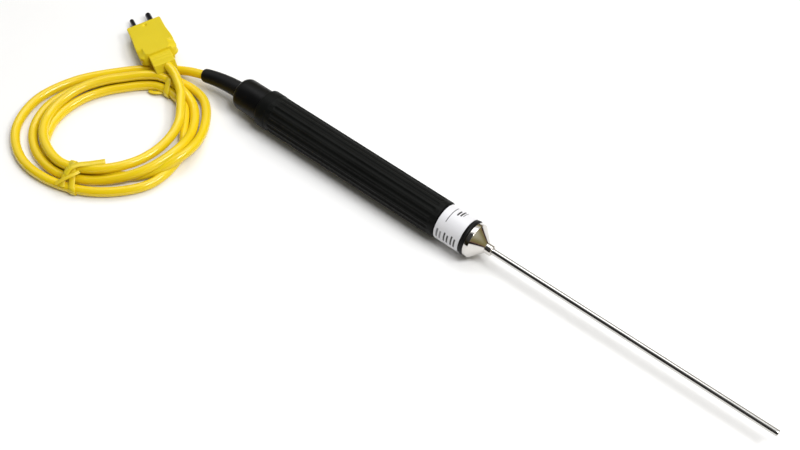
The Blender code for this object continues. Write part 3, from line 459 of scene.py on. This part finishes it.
plug = {"place": (-54.5, 7.1), "yaw": 154.3, "pitch": 9.3, "roll": -5.2, "frontWidth": 19.8,
        "earWidth": 21.3, "body": 31.5, "earLength": 10.0, "thickness": 8.3, "neckWidth": 12.0,
        "neck": 10.9, "neckStep": 1.1, "corner": 1.2, "earCorner": 3.2, "cableSide": -1.6}


def ovalFrame(places):
    # From the oval's own axes to the frame's: turned in plan and moved to the oval's centre.
    places, turn = np.asarray(places, float), math.radians(cable["turned"])
    centre, lengthways, crosswise = cableExit[:2] + cable["centre"], places[..., 0], places[..., 1]
    x = centre[0] + lengthways * math.cos(turn) - crosswise * math.sin(turn)
    y = centre[1] + lengthways * math.sin(turn) + crosswise * math.cos(turn)
    return np.stack([x, y, places[..., 2]], -1)


def coilPlace(outward, angle, height):
    # A place by the oval, whose half axes both grow in the same share with the distance outwards.
    outward, angle, height = np.broadcast_arrays(np.asarray(outward, float), np.radians(angle), height)
    share = 1 + outward / cable["halfLength"]
    return ovalFrame(np.stack([cable["halfLength"] * share * np.cos(angle),
                               cable["halfWidth"] * share * np.sin(angle), height], -1))


plugTurn = np.array(Matrix.Rotation(math.radians(plug["yaw"]), 3, "Z")
                    @ Matrix.Rotation(math.radians(plug["pitch"]), 3, "Y")
                    @ Matrix.Rotation(math.radians(plug["roll"]), 3, "X"))
plugPlace = np.array([cableExit[0] + plug["place"][0], cableExit[1] + plug["place"][1],
                      abs(plugTurn[2, 1]) * plug["frontWidth"] / 2])


def fromPlug(points):
    # From the plug's own axes, +X out of its front and +Z up, to the frame's.
    return np.asarray(points, float) @ plugTurn.T + plugPlace


lanes = np.array([lane for turn in turns for lane in turn])
laneAngles = cable["firstAngle"] + cable["step"] * np.arange(len(lanes))
plugRear = -(plug["body"] + plug["neck"])
plugLevel = plug["thickness"] / 2
leadPlaces = np.array(leadIn) + [cableExit[0], cableExit[1], 0]
plugPlaces = fromPlug([(plugRear, plug["cableSide"], plugLevel),
                       (plugRear + cable["insidePlug"], plug["cableSide"] / 2, plugLevel)])
reliefPlaces = [reliefPlace(relief["reach"] - cable["insideRelief"]), cableExit]
route = smoothPath(np.vstack([reliefPlaces, leadPlaces, coilPlace(lanes[:, 0], laneAngles, lanes[:, 1]),
                              ovalFrame(leadOut), plugPlaces]), cable["spacing"])


def cableGrid():
    # A circle carried along the route. Each point also keeps its place on the straight cable, for
    # the jacket's drawn lines: its distance along, and the circle's two coordinates.
    radius = cable["diameter"] / 2
    side, up = crossways(np.gradient(route, axis=0))
    points = ringGrid(route, np.full((len(route), cable["sides"]), radius), side, up)
    reach, a = np.meshgrid(np.arange(len(route)) * cable["spacing"],
                           np.linspace(0, math.tau, cable["sides"], endpoint=False), indexing="ij")
    return points, np.stack([reach, radius * np.cos(a), radius * np.sin(a)], -1) * mm


grid, straight = cableGrid()
cablePiece = makePiece("leadCable", [(grid, False)], "cable", ["cable", "cable_coil"], sharp=60,
                       marks={"straight": straight})
print("cable laid:", round(float(np.linalg.norm(np.diff(route, axis=0), axis=1).sum())), "mm")


sheath = {"diameter": 3.2, "tip": 179.5, "tail": -14.0, "tipEdge": 0.5, "tipReach": 2.0, "rows": 60,
          "sides": 64}
radius, edge = sheath["diameter"] / 2, sheath["tipEdge"]
profile = roundOver(sheath["tip"] - edge, radius - edge, edge, 0, 90)
stations = np.linspace(sheath["tip"] - sheath["tipReach"], sheath["tail"], sheath["rows"])
profile += [(station, radius) for station in stations]
makePiece("sheathTube", [(turnedGrid(profile, sheath["sides"]), False)], "steel",
          ["sheath", "mineral_core"])

nose = {"rimRear": 17.6, "rimLength": 2.4, "rim": 9.0, "coneLength": 5.8, "coneTip": 3.1,
        "boss": 2.7, "bossLength": 3.6, "bossRound": 0.6, "edge": 0.2, "land": 7.3,
        "landRear": 15.5, "spigotRear": 4.1, "spigot": 6.0, "bore": 1.62, "mouthDepth": 0.4,
        "mouthWidening": 0.25, "filletLength": 0.12, "filletRise": 0.1, "sides": 128}
rimFront = nose["rimRear"] + nose["rimLength"]
coneFront = rimFront + nose["coneLength"]
bossFront = coneFront + nose["bossLength"]
slope = math.degrees(math.atan2(nose["rim"] - nose["coneTip"], nose["coneLength"]))
edge, bossRound = nose["edge"], nose["bossRound"]
profile = [(bossFront - nose["mouthDepth"], nose["bore"]),
           (bossFront, nose["bore"] + nose["mouthWidening"])]
profile += roundOver(bossFront - bossRound, nose["boss"] - bossRound, bossRound, 0, 90)
profile += [(coneFront + nose["filletLength"], nose["boss"]),
            (coneFront, nose["boss"] + nose["filletRise"])]
profile += roundOver(coneFront - edge, nose["coneTip"] - edge, edge, 0, 90 - slope)
profile += roundOver(rimFront - edge, nose["rim"] - edge, edge, 90 - slope, 90)
profile += roundOver(nose["rimRear"] + edge, nose["rim"] - edge, edge, 90, 180)
profile += [(nose["rimRear"], nose["land"]), (nose["landRear"], nose["land"]),
            (nose["landRear"], nose["spigot"]), (nose["spigotRear"], nose["spigot"]),
            (nose["spigotRear"], nose["bore"])]
makePiece("noseCone", [(turnedGrid(profile, nose["sides"]), True)], "nickel", ["nose_cone"], sharp=30)

seal = {"rear": 15.5, "thickness": 1.8, "outer": 9.35, "sides": 96, "roundSides": 24}
half, lastAngle = seal["thickness"] / 2, 360 - 360 / seal["roundSides"]
profile = roundOver(seal["rear"] + half, seal["outer"] - half, half, 0, lastAngle, seal["roundSides"])
makePiece("sealingRing", [(turnedGrid(profile, seal["sides"]), True)], "rubber", ["o_ring"])

tube = {"front": 15.2, "head": 8.8, "shoulder": 0.3, "body": 7.5, "tail": -122.8, "bore": 5.5,
        "edge": 0.2, "sides": 96}
profile = [(tube["front"], tube["bore"]), (tube["front"], tube["head"] - tube["edge"]),
           (tube["front"] - tube["edge"], tube["head"]), (tube["shoulder"], tube["head"]),
           (tube["shoulder"], tube["body"]), (tube["tail"], tube["body"]), (tube["tail"], tube["bore"])]
makePiece("bodyTube", [(turnedGrid(profile, tube["sides"]), True)], "plastic", ["body_tube"])

band = {"front": 14.9, "rear": 0.6, "inner": 8.85, "outer": 9.3, "edge": 0.08, "sides": 128}
profile = [(band["front"], band["inner"]), (band["front"], band["outer"] - band["edge"]),
           (band["front"] - band["edge"], band["outer"]), (band["rear"] + band["edge"], band["outer"]),
           (band["rear"], band["outer"] - band["edge"]), (band["rear"], band["inner"])]
makePiece("labelBand", [(turnedGrid(profile, band["sides"]), True)], "band", ["label_band"])
print("front end made")


grip = {"length": 117.3, "front": 9.8, "rear": 10.05, "chamfer": 0.8, "collar": 10.25,
        "collarLength": 6.5, "collarEdge": 0.5, "collarStep": 0.2, "bore": 7.8, "flutes": 18,
        "fluteWidth": 2.6, "fluteDepth": 0.45, "frontLand": 2.2, "rearLand": 1.6, "rubReach": 0.3,
        "rubDepth": 0.1, "stepBack": 0.06, "stepRise": 0.02, "perFlute": 20, "endSpan": 2.6,
        "endRows": 18, "middleInset": 4.0, "middleRows": 50}


def gripGrid():
    # The taper's radius, less round-bottomed flutes: at angle a from a flute's middle the cutter's
    # surface lies at d cos a - root(R^2 - d^2 sin^2 a), where R shrinks as a sphere's does beyond
    # the flute's ends. The rubbed mark is a bell curve about each flute's edge.
    collarFront = -grip["length"] + grip["collarLength"]
    cutter = ((grip["fluteWidth"] / 2) ** 2 + grip["fluteDepth"] ** 2) / (2 * grip["fluteDepth"])
    front, rear = -grip["frontLand"], collarFront + grip["rearLand"]        # where the flutes run out
    span, inset = grip["endSpan"], grip["middleInset"]
    stations = np.concatenate([[-grip["chamfer"]], np.linspace(front, front - span, grip["endRows"]),
                               np.linspace(front - inset, rear + inset, grip["middleRows"]),
                               np.linspace(rear + span, rear, grip["endRows"]), [collarFront]])
    share = (stations + grip["chamfer"]) / (collarFront + grip["chamfer"])
    taper = grip["front"] + (grip["rear"] - grip["front"]) * share
    columns = grip["flutes"] * grip["perFlute"]
    step = math.tau / grip["flutes"]
    off = (np.linspace(0, math.tau, columns, endpoint=False) % step) - step / 2
    distance = taper - grip["fluteDepth"] + cutter
    beyond = np.maximum(stations - front + cutter, 0) + np.maximum(rear + cutter - stations, 0)
    inside = (cutter ** 2 - beyond ** 2)[:, None] - (distance[:, None] * np.sin(off)[None, :]) ** 2
    cutTo = distance[:, None] * np.cos(off)[None, :] - np.sqrt(np.maximum(inside, 0))
    fluted = np.where(inside > 0, np.minimum(taper[:, None], cutTo), taper[:, None])
    worn = np.exp(-((np.abs(off) * grip["front"] - grip["fluteWidth"] / 2) / grip["rubReach"]) ** 2)
    edge, small = grip["collarEdge"], grip["collarStep"]
    head = roundOver(-grip["chamfer"], grip["front"] - grip["chamfer"], grip["chamfer"], 0, 75)
    tail = [(collarFront - grip["stepBack"], grip["rear"] + grip["stepRise"])]      # a hair's step
    tail += roundOver(collarFront - edge, grip["collar"] - small, small, 20, 90, 4)
    tail += roundOver(-grip["length"] + edge, grip["collar"] - edge, edge, 90, 180)
    tail += [(-grip["length"], grip["bore"]), (0.0, grip["bore"])]
    rubbed = np.zeros((len(head) + len(stations) + len(tail), columns))
    rubbed[len(head):len(head) + len(stations)] = worn * (fluted > taper[:, None] - grip["rubDepth"])
    return turnedGrid(head + list(zip(stations, fluted)) + tail, columns), rubbed


grid, rubbed = gripGrid()
makePiece("flutedGrip", [(grid, True)], "grip", ["grip_sleeve"], 32, {"rubbed": rubbed})

capFront = capHigh.x / mm - gripFront
cap = {"radius": 8.8, "edge": 0.5, "shoulder": 3.7, "hole": 4.9, "inner": 7.8, "wall": 3.5, "sides": 96}
profile = roundOver(capFront - cap["edge"], cap["radius"] - cap["edge"], cap["edge"], 0, 90)
profile += roundOver(capRear + cap["shoulder"], cap["radius"] - cap["shoulder"], cap["shoulder"],
                     90, 180, 16)
profile += [(capRear, cap["hole"]), (capRear + cap["wall"], cap["hole"]),
            (capRear + cap["wall"], cap["inner"]), (capFront, cap["inner"])]
makePiece("rearCap", [(turnedGrid(profile, cap["sides"]), True)], "plastic", ["rear_cap"], sharp=50)


def reliefGrid():
    # Outer rows taper to a nose of a quarter ellipse, then inner rows run back along the bore.
    straight, rows = relief["reach"] - relief["nose"], relief["rows"]
    outer = np.linspace(-relief["inside"], straight, rows["outer"])
    taper = relief["root"] + (relief["end"] - relief["root"]) * np.clip(outer / straight, 0, 1)
    turn = np.radians(np.linspace(relief["firstAngle"], 90, rows["nose"]))
    noseRows = straight + relief["nose"] * np.sin(turn)
    noseRadii = relief["rim"] + (relief["end"] - relief["rim"]) * np.cos(turn)
    inner = np.linspace(relief["reach"] - relief["mouth"], -relief["inside"], rows["inner"])
    distances = np.concatenate([outer, noseRows, inner])
    radii = np.concatenate([taper, noseRadii, np.full(len(inner), relief["bore"])])
    share = np.maximum(distances / relief["reach"], 0)[:, None]
    bend = 2 / relief["reach"] * np.array([0.0, -relief["sideBend"], -relief["drop"]])
    side, up = crossways(np.array([-1.0, 0.0, 0.0]) + share * bend)
    return ringGrid(reliefPlace(distances), np.repeat(radii[:, None], relief["sides"], 1), side, up)


makePiece("strainRelief", [(reliefGrid(), True)], "rubber", ["strain_relief"], sharp=60)
print("handle made")


plugShape = {"edge": 0.5, "frontRound": 0.5, "neckRound": 0.5, "split": 0.16, "splitReach": 0.04,
             "recessStation": 26.0, "recessLong": 4.9, "recessHigh": 3.0, "recessDepth": 0.9,
             "recessBelly": 0.8, "scoop": 1.9, "scoopWidth": 3.4, "scoopStart": 23.6,
             "scoopRamp": 0.8, "scoopBelly": 0.7,
             "dimpleStation": 3.4, "dimpleRadius": 1.4, "dimpleDepth": 1.0,
             "ribs": (35.2, 38.0), "ribDepth": 0.22, "ribWidth": 0.35,
             "rows": {"front": 10, "body": 110, "ears": 20, "neck": 70, "rear": 6}}


def drawBack(past, size):
    # How far a quarter circle has drawn back at this distance past its start: r - root(r^2 -
    # past^2).
    return size - np.sqrt(np.maximum(size ** 2 - past ** 2, 0))


def plugStations():
    # Rows from the plug's front to the rear of its neck, closer together where its outline turns.
    bodyRear, corner, ear = -plug["body"], plug["corner"], plug["earCorner"]
    rows, quarter = plugShape["rows"], math.pi / 2
    return np.concatenate([corner * (np.cos(np.linspace(0, quarter, rows["front"])) - 1),
                           np.linspace(-corner - 0.1, bodyRear + ear, rows["body"]),
                           bodyRear + ear * (1 - np.sin(np.linspace(0.1, quarter, rows["ears"]))),
                           bodyRear - np.array([0.05, 0.3]),
                           np.linspace(bodyRear - 0.7, plugRear + 0.6, rows["neck"]),
                           plugRear + plugShape["neckRound"]
                           * (1 - np.sin(np.linspace(0.2, quarter, rows["rear"])))])


def plugHalfWidth(x):
    # Half width along the plug: the body widens smoothly into the ears, 3t^2 - 2t^3, and has round
    # corners.
    front, ear = plug["frontWidth"] / 2, plug["earWidth"] / 2
    t = np.clip((-x - plug["body"] / 3) / (plug["body"] * 2 / 3 - plug["earLength"]), 0, 1)
    width = front + (ear - front) * t * t * (3 - 2 * t)
    nearFront = np.clip(plug["corner"] + x, 0, plug["corner"])
    nearRear = np.clip(-x - plug["body"] + plug["earCorner"], 0, plug["earCorner"])
    return width - drawBack(nearFront, plug["corner"]) - drawBack(nearRear, plug["earCorner"])


def plugSection():
    # Once round a rounded rectangle: shares (u, v) of its half sides, and the direction (c, s) of
    # its edges' rounding, so that a point lies at ((w - r) u + r c, (h - r) v + r s). The upright
    # side has more points about its middle, where the shells part.
    flat = np.linspace(-1, 1, 61)
    upright = np.concatenate([np.linspace(-1, -0.14, 8), [-0.05, -0.03, 0, 0.03, 0.05],
                              np.linspace(0.14, 1, 8)])
    turn = np.radians(np.linspace(0, 90, 6))[1:-1]
    whole, nothing = np.ones_like, np.zeros_like
    half = np.vstack([np.stack([whole(upright), upright, whole(upright), nothing(upright)], 1),
                      np.stack([whole(turn), whole(turn), np.cos(turn), np.sin(turn)], 1),
                      np.stack([-flat, whole(flat), nothing(flat), whole(flat)], 1),
                      np.stack([-whole(turn), whole(turn), -np.sin(turn), np.cos(turn)], 1)])
    return np.vstack([half, -half])                 # the other half is this one turned by 180 degrees


def plugGrid():
    # Rounded rectangles carried along the plug. The parting line, finger hollows, top scoops,
    # dimple and neck grooves are then pressed into the points near them.
    shape, x = plugShape, plugStations()
    bodyRear, neckHalf = -plug["body"], plug["neckWidth"] / 2
    isNeck = x < bodyRear
    pastNeck = np.where(isNeck, np.clip(shape["neckRound"] - (x - plugRear), 0, shape["neckRound"]), 0)
    pastFront = np.clip(shape["frontRound"] + x, 0, shape["frontRound"])
    neckInset = drawBack(pastNeck, shape["neckRound"])
    frontInset = drawBack(pastFront, shape["frontRound"])
    w = (np.where(isNeck, neckHalf, np.maximum(plugHalfWidth(x), neckHalf)) - neckInset)[:, None]
    h = (np.where(isNeck, plugLevel - plug["neckStep"], plugLevel) - neckInset - frontInset)[:, None]
    u, v, c, s = plugSection().T[:, None, :]
    y = (w - shape["edge"]) * u + shape["edge"] * c
    z = (h - shape["edge"]) * v + shape["edge"] * s
    x = np.broadcast_to(x[:, None], y.shape)
    onSide, onFace = (np.abs(c) > 0.99) & (np.abs(u) > 0.99), np.abs(s) > 0.5
    parting = shape["split"] * (np.abs(v) < shape["splitReach"])
    hollow = (1 - ((x + shape["recessStation"]) / shape["recessLong"]) ** 2
              - (z / shape["recessHigh"]) ** 2)
    hollow = shape["recessDepth"] * np.maximum(hollow, 0) ** shape["recessBelly"]
    pressed = np.maximum(parting, hollow)
    y = y - np.sign(y) * pressed * onSide
    enter = np.clip((-x - shape["scoopStart"]) / shape["scoopRamp"], 0, 1) * (x > bodyRear)
    nearSide = np.clip((np.abs(y) - (w - shape["scoopWidth"])) / shape["scoopWidth"], 0, 1)
    sunk = shape["scoop"] * enter * nearSide ** shape["scoopBelly"]
    away = np.hypot(x + shape["dimpleStation"], y) / shape["dimpleRadius"]
    sunk = sunk + shape["dimpleDepth"] * np.maximum(1 - away ** 2, 0) * (s > 0.5)
    for station in shape["ribs"]:
        sunk = sunk + shape["ribDepth"] * np.exp(-((x + station) / shape["ribWidth"]) ** 2)
    z = z - np.sign(z) * sunk * np.where(onFace, 1.0, np.abs(z) / plugLevel * (enter > 0))
    return fromPlug(np.stack([x, y, plugLevel + z], -1))


onCable = [makePiece("plugShells", [(plugGrid(), False)], "plug", ["plug_base", "plug_cover"],
                     sharp=35)]
pins = {"reach": 12.5, "spacing": 9.7, "positive": 1.25, "negative": 1.6, "inside": 3.0, "sides": 48,
        "tipRows": 12, "tipFlat": 0.03, "tipBack": 0.01}


def pinGrid(side, radius):
    # A round pin with a ball end, on the plug's own axes: each row is a circle at its reach out of
    # the front.
    rows = np.array([(pins["reach"] - pins["tipBack"], pins["tipFlat"])]
                    + roundOver(pins["reach"] - radius, 0, radius, 6, 90, pins["tipRows"])
                    + [(-pins["inside"], radius)])
    a = np.linspace(0, math.tau, pins["sides"], endpoint=False)
    return fromPlug(np.stack([np.repeat(rows[:, :1], pins["sides"], 1),
                              side * pins["spacing"] / 2 + rows[:, 1:] * np.cos(a),
                              plugLevel + rows[:, 1:] * np.sin(a)], -1))


for pole, side in (("positive", 1), ("negative", -1)):
    onCable.append(makePiece("pin" + pole.capitalize(), [(pinGrid(side, pins[pole]), False)], "pin",
                             ["pin_" + pole]))
print("plug made")


# Strips of each tie besides its band: width, then places as outward, angle and height by the oval.
tie = {"width": 3.4, "thickness": 0.55, "clear": 0.12, "aboveTable": 0.02, "spacing": 0.6,
       "bandRows": 120,
       "near": {"angle": 252.5, "lean": 0.3, "strips": [
           (3.2, [(2.4, 249.0, 8.3), (-1.5, 250.5, 9.9), (-4.6, 254.5, 10.2), (-7.0, 262.0, 9.7),
                  (-9.6, 275.5, 9.1)]),
           (2.6, [(-5.6, 250.5, 9.9), (-1.4, 249.0, 9.4), (2.4, 248.6, 7.9), (5.6, 249.0, 6.3),
                  (8.6, 249.8, 4.6)]),
           (2.6, [(-1.4, 257.0, 8.7), (1.8, 254.0, 8.7), (4.4, 250.8, 8.0), (6.6, 247.6, 6.5),
                  (8.2, 245.4, 5.2)])]},
       "far": {"angle": 50.0, "lean": 0.4, "strips": [
           (2.2, [(-2.2, 52.5, 1.6), (-4.6, 56.0, 1.9), (-5.4, 60.0, 1.6), (-4.9, 64.0, 1.3)])]}}


def bundleBand(angle, lean):
    # The taut band round the strands at an angle: in direction n it lies against the strand whose
    # centre reaches furthest along n, at that centre plus the strand's radius along n. It leans
    # along the coil as it goes out.
    here = angle + 360 * np.arange(len(turns))
    outward, height = (np.interp(here, laneAngles, lanes[:, k]) for k in (0, 1))
    centres = coilPlace(outward, here, height)
    middle = coilPlace(0.0, angle, 0.0)
    ahead = coilPlace(0.0, angle + 1.0, 0.0) - middle
    ahead /= np.linalg.norm(ahead)
    upright = np.array([0.0, 0.0, 1.0])
    out = np.cross(ahead, upright)
    flat = np.stack([(centres - middle) @ out, centres[:, 2]], -1)
    a = np.linspace(0, math.tau, tie["bandRows"], endpoint=False)
    n = np.stack([np.cos(a), np.sin(a)], -1)
    reach = cable["diameter"] / 2 + tie["clear"] + tie["thickness"] / 2
    line = flat[np.argmax(flat @ n.T, axis=0)] + n * reach
    line[:, 1] = np.maximum(line[:, 1], tie["thickness"] / 2 + tie["aboveTable"])
    path = middle + line[:, :1] * (out + lean * ahead) + line[:, 1:] * upright
    facing = n[:, :1] * out + n[:, 1:] * upright
    return stripGrid(path, np.tile(ahead, (len(path), 1)), facing, tie["width"], tie["thickness"])


def tieShells(wrap):
    # The band and its strips; each strip is a ribbon on a smooth path.
    shells = [(bundleBand(wrap["angle"], wrap["lean"]), True)]
    for width, places in wrap["strips"]:
        path = smoothPath(coilPlace(*np.array(places).T), tie["spacing"])
        shells.append((ribbonGrid(path, width, tie["thickness"]), False))
    return shells


onCable.append(makePiece("tieNear", tieShells(tie["near"]), "tie", ["tie_near"], sharp=50))
onCable.append(makePiece("tieFar", tieShells(tie["far"]), "tie", ["tie_far"], sharp=50))
print("ties made")


# Nodes that stay as CAD solids, with the material each gets. Cable ends use the tie's yellow,
# because the jacket's drawn lines need a mark that only the laid cable has.
kept = {"sheath_collar": "steel", "cable_stop": "brass", "inner_cable": "tie",
        "terminal_carrier": "ceramic", "crimp_positive": "brass", "crimp_negative": "brass",
        "lead_positive": "steel",
        "lead_negative": "steel", "core_positive": "tie", "core_negative": "redCore",
        "plug_core_positive": "tie", "plug_core_negative": "redCore", "plug_cable_end": "tie",
        "cover_screw": "steel"}
for nodeName, finish in kept.items():
    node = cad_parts[nodeName]
    node.data.materials.clear()
    node.data.materials.append(materials[finish])

onCable += [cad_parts[name] for name in ("cover_screw", "plug_cable_end", "plug_core_positive",
                                              "plug_core_negative")]


studio = {
    # A painted board: even, with hardly any sheen.
    "floor": {"name": "matt white sheet", "dark": "f3f3f3", "light": "f6f6f6", "cloud": 30.0,
              "detail": 3.0, "reach": 6000.0, "gap": 0.2, "roughness": 0.8, "specular": 0.1},
    # Azimuth, elevation, distance, size and watts.
    "softboxes": {"top": (80, 66, 900, (220, 160), 2.7), "side": (107, 53, 900, (220, 160), 2.7),
                  "back": (215, 60, 1100, (900, 500), 2.6)},
    # The room that polished metal mirrors: sine of the height above the horizon, and a colour.
    "room": [(0.0, "040404"), (0.11, "0a0808"), (0.15, "8c6a60"), (0.19, "7a7048"), (0.32, "8e8660"),
             (0.41, "b2ae98"), (0.58, "d0d0d2"), (0.80, "f0f0f2"), (1.0, "ffffff")],
    "roomLight": 1.22,
    # The dark side of the room: its azimuth and elevation, the cosines where it ends and is
    # darkest, and the share of light left there.
    "darkSide": (-8.0, 45.0), "darkEdge": (0.66, 0.78), "darkest": 0.06}

for name, (azimuth, elevation, distance, size, power) in studio["softboxes"].items():
    light = bpy.data.lights.new(name + "Softbox", "AREA")
    light.shape = "RECTANGLE"
    light.size, light.size_y, light.energy = size[0] * mm, size[1] * mm, power
    lamp = bpy.data.objects.new(name + "Softbox", light)
    lookFrom(lamp, fromTarget(azimuth, elevation, distance))

look = studio["floor"]
floorMaterial, tree = blankMaterial(look["name"])
place = addNode(tree, "TexCoord").outputs["Object"]
cloud = addNode(tree, "TexNoise", {"Scale": 1 / (look["cloud"] * mm), "Detail": look["detail"]},
                {"Vector": place})
tone = addNode(tree, "Mix", {"data_type": "RGBA", 6: linear(look["dark"]), 7: linear(look["light"])},
               {0: cloud.outputs["Fac"]})
shader = addNode(tree, "BsdfPrincipled", {"Roughness": look["roughness"],
                                          "Specular IOR Level": look["specular"]},
                 {"Base Color": tone.outputs[2]})
addNode(tree, "OutputMaterial", links={"Surface": shader.outputs["BSDF"]})
reach = look["reach"] * mm
floorMesh = bpy.data.meshes.new("floor")
corners = [(-reach, -reach, 0), (reach, -reach, 0), (reach, reach, 0), (-reach, reach, 0)]
floorMesh.from_pydata(corners, [], [(0, 1, 2, 3)])
floorMesh.materials.append(floorMaterial)
floor = bpy.data.objects.new("floor", floorMesh)
floor.location.z = -look["gap"] * mm
bpy.context.scene.collection.objects.link(floor)

world = bpy.data.worlds.new("room")
bpy.context.scene.world = world
world.use_nodes = True
tree = world.node_tree
tree.nodes.clear()
compass = addNode(tree, "TexCoord").outputs["Generated"]
direction = addNode(tree, "SeparateXYZ", links={"Vector": compass})
ramp = addNode(tree, "ValToRGB", links={"Fac": direction.outputs["Z"]})
stops = ramp.color_ramp.elements
for index, (height, code) in enumerate(studio["room"]):
    stop = stops[0] if index == 0 else stops.new(height)
    stop.position, stop.color = height, linear(code)
stops.remove(stops[len(studio["room"])])        # the stop it came with
toDark = (fromTarget(*studio["darkSide"], 1.0) - camera["target"]).tolist()
inDark = addNode(tree, "VectorMath", {"operation": "DOT_PRODUCT", 1: toDark}, {0: compass})
shade = addNode(tree, "MapRange", {"From Min": studio["darkEdge"][0], "From Max": studio["darkEdge"][1],
                                   "To Min": studio["roomLight"],
                                   "To Max": studio["roomLight"] * studio["darkest"]},
                {"Value": inDark.outputs["Value"]})
room = addNode(tree, "Background",
               links={"Color": ramp.outputs["Color"], "Strength": shade.outputs["Result"]})
plain = addNode(tree, "Background", {"Color": (1.0, 1.0, 1.0, 1.0), "Strength": 1.0})
seen = addNode(tree, "MixShader", links={0: addNode(tree, "LightPath").outputs["Is Camera Ray"],
                                         1: room.outputs["Background"], 2: plain.outputs["Background"]})
addNode(tree, "OutputWorld", links={"Surface": seen.outputs["Shader"]})
bpy.context.scene.view_settings.view_transform = "Standard"
print("studio set")
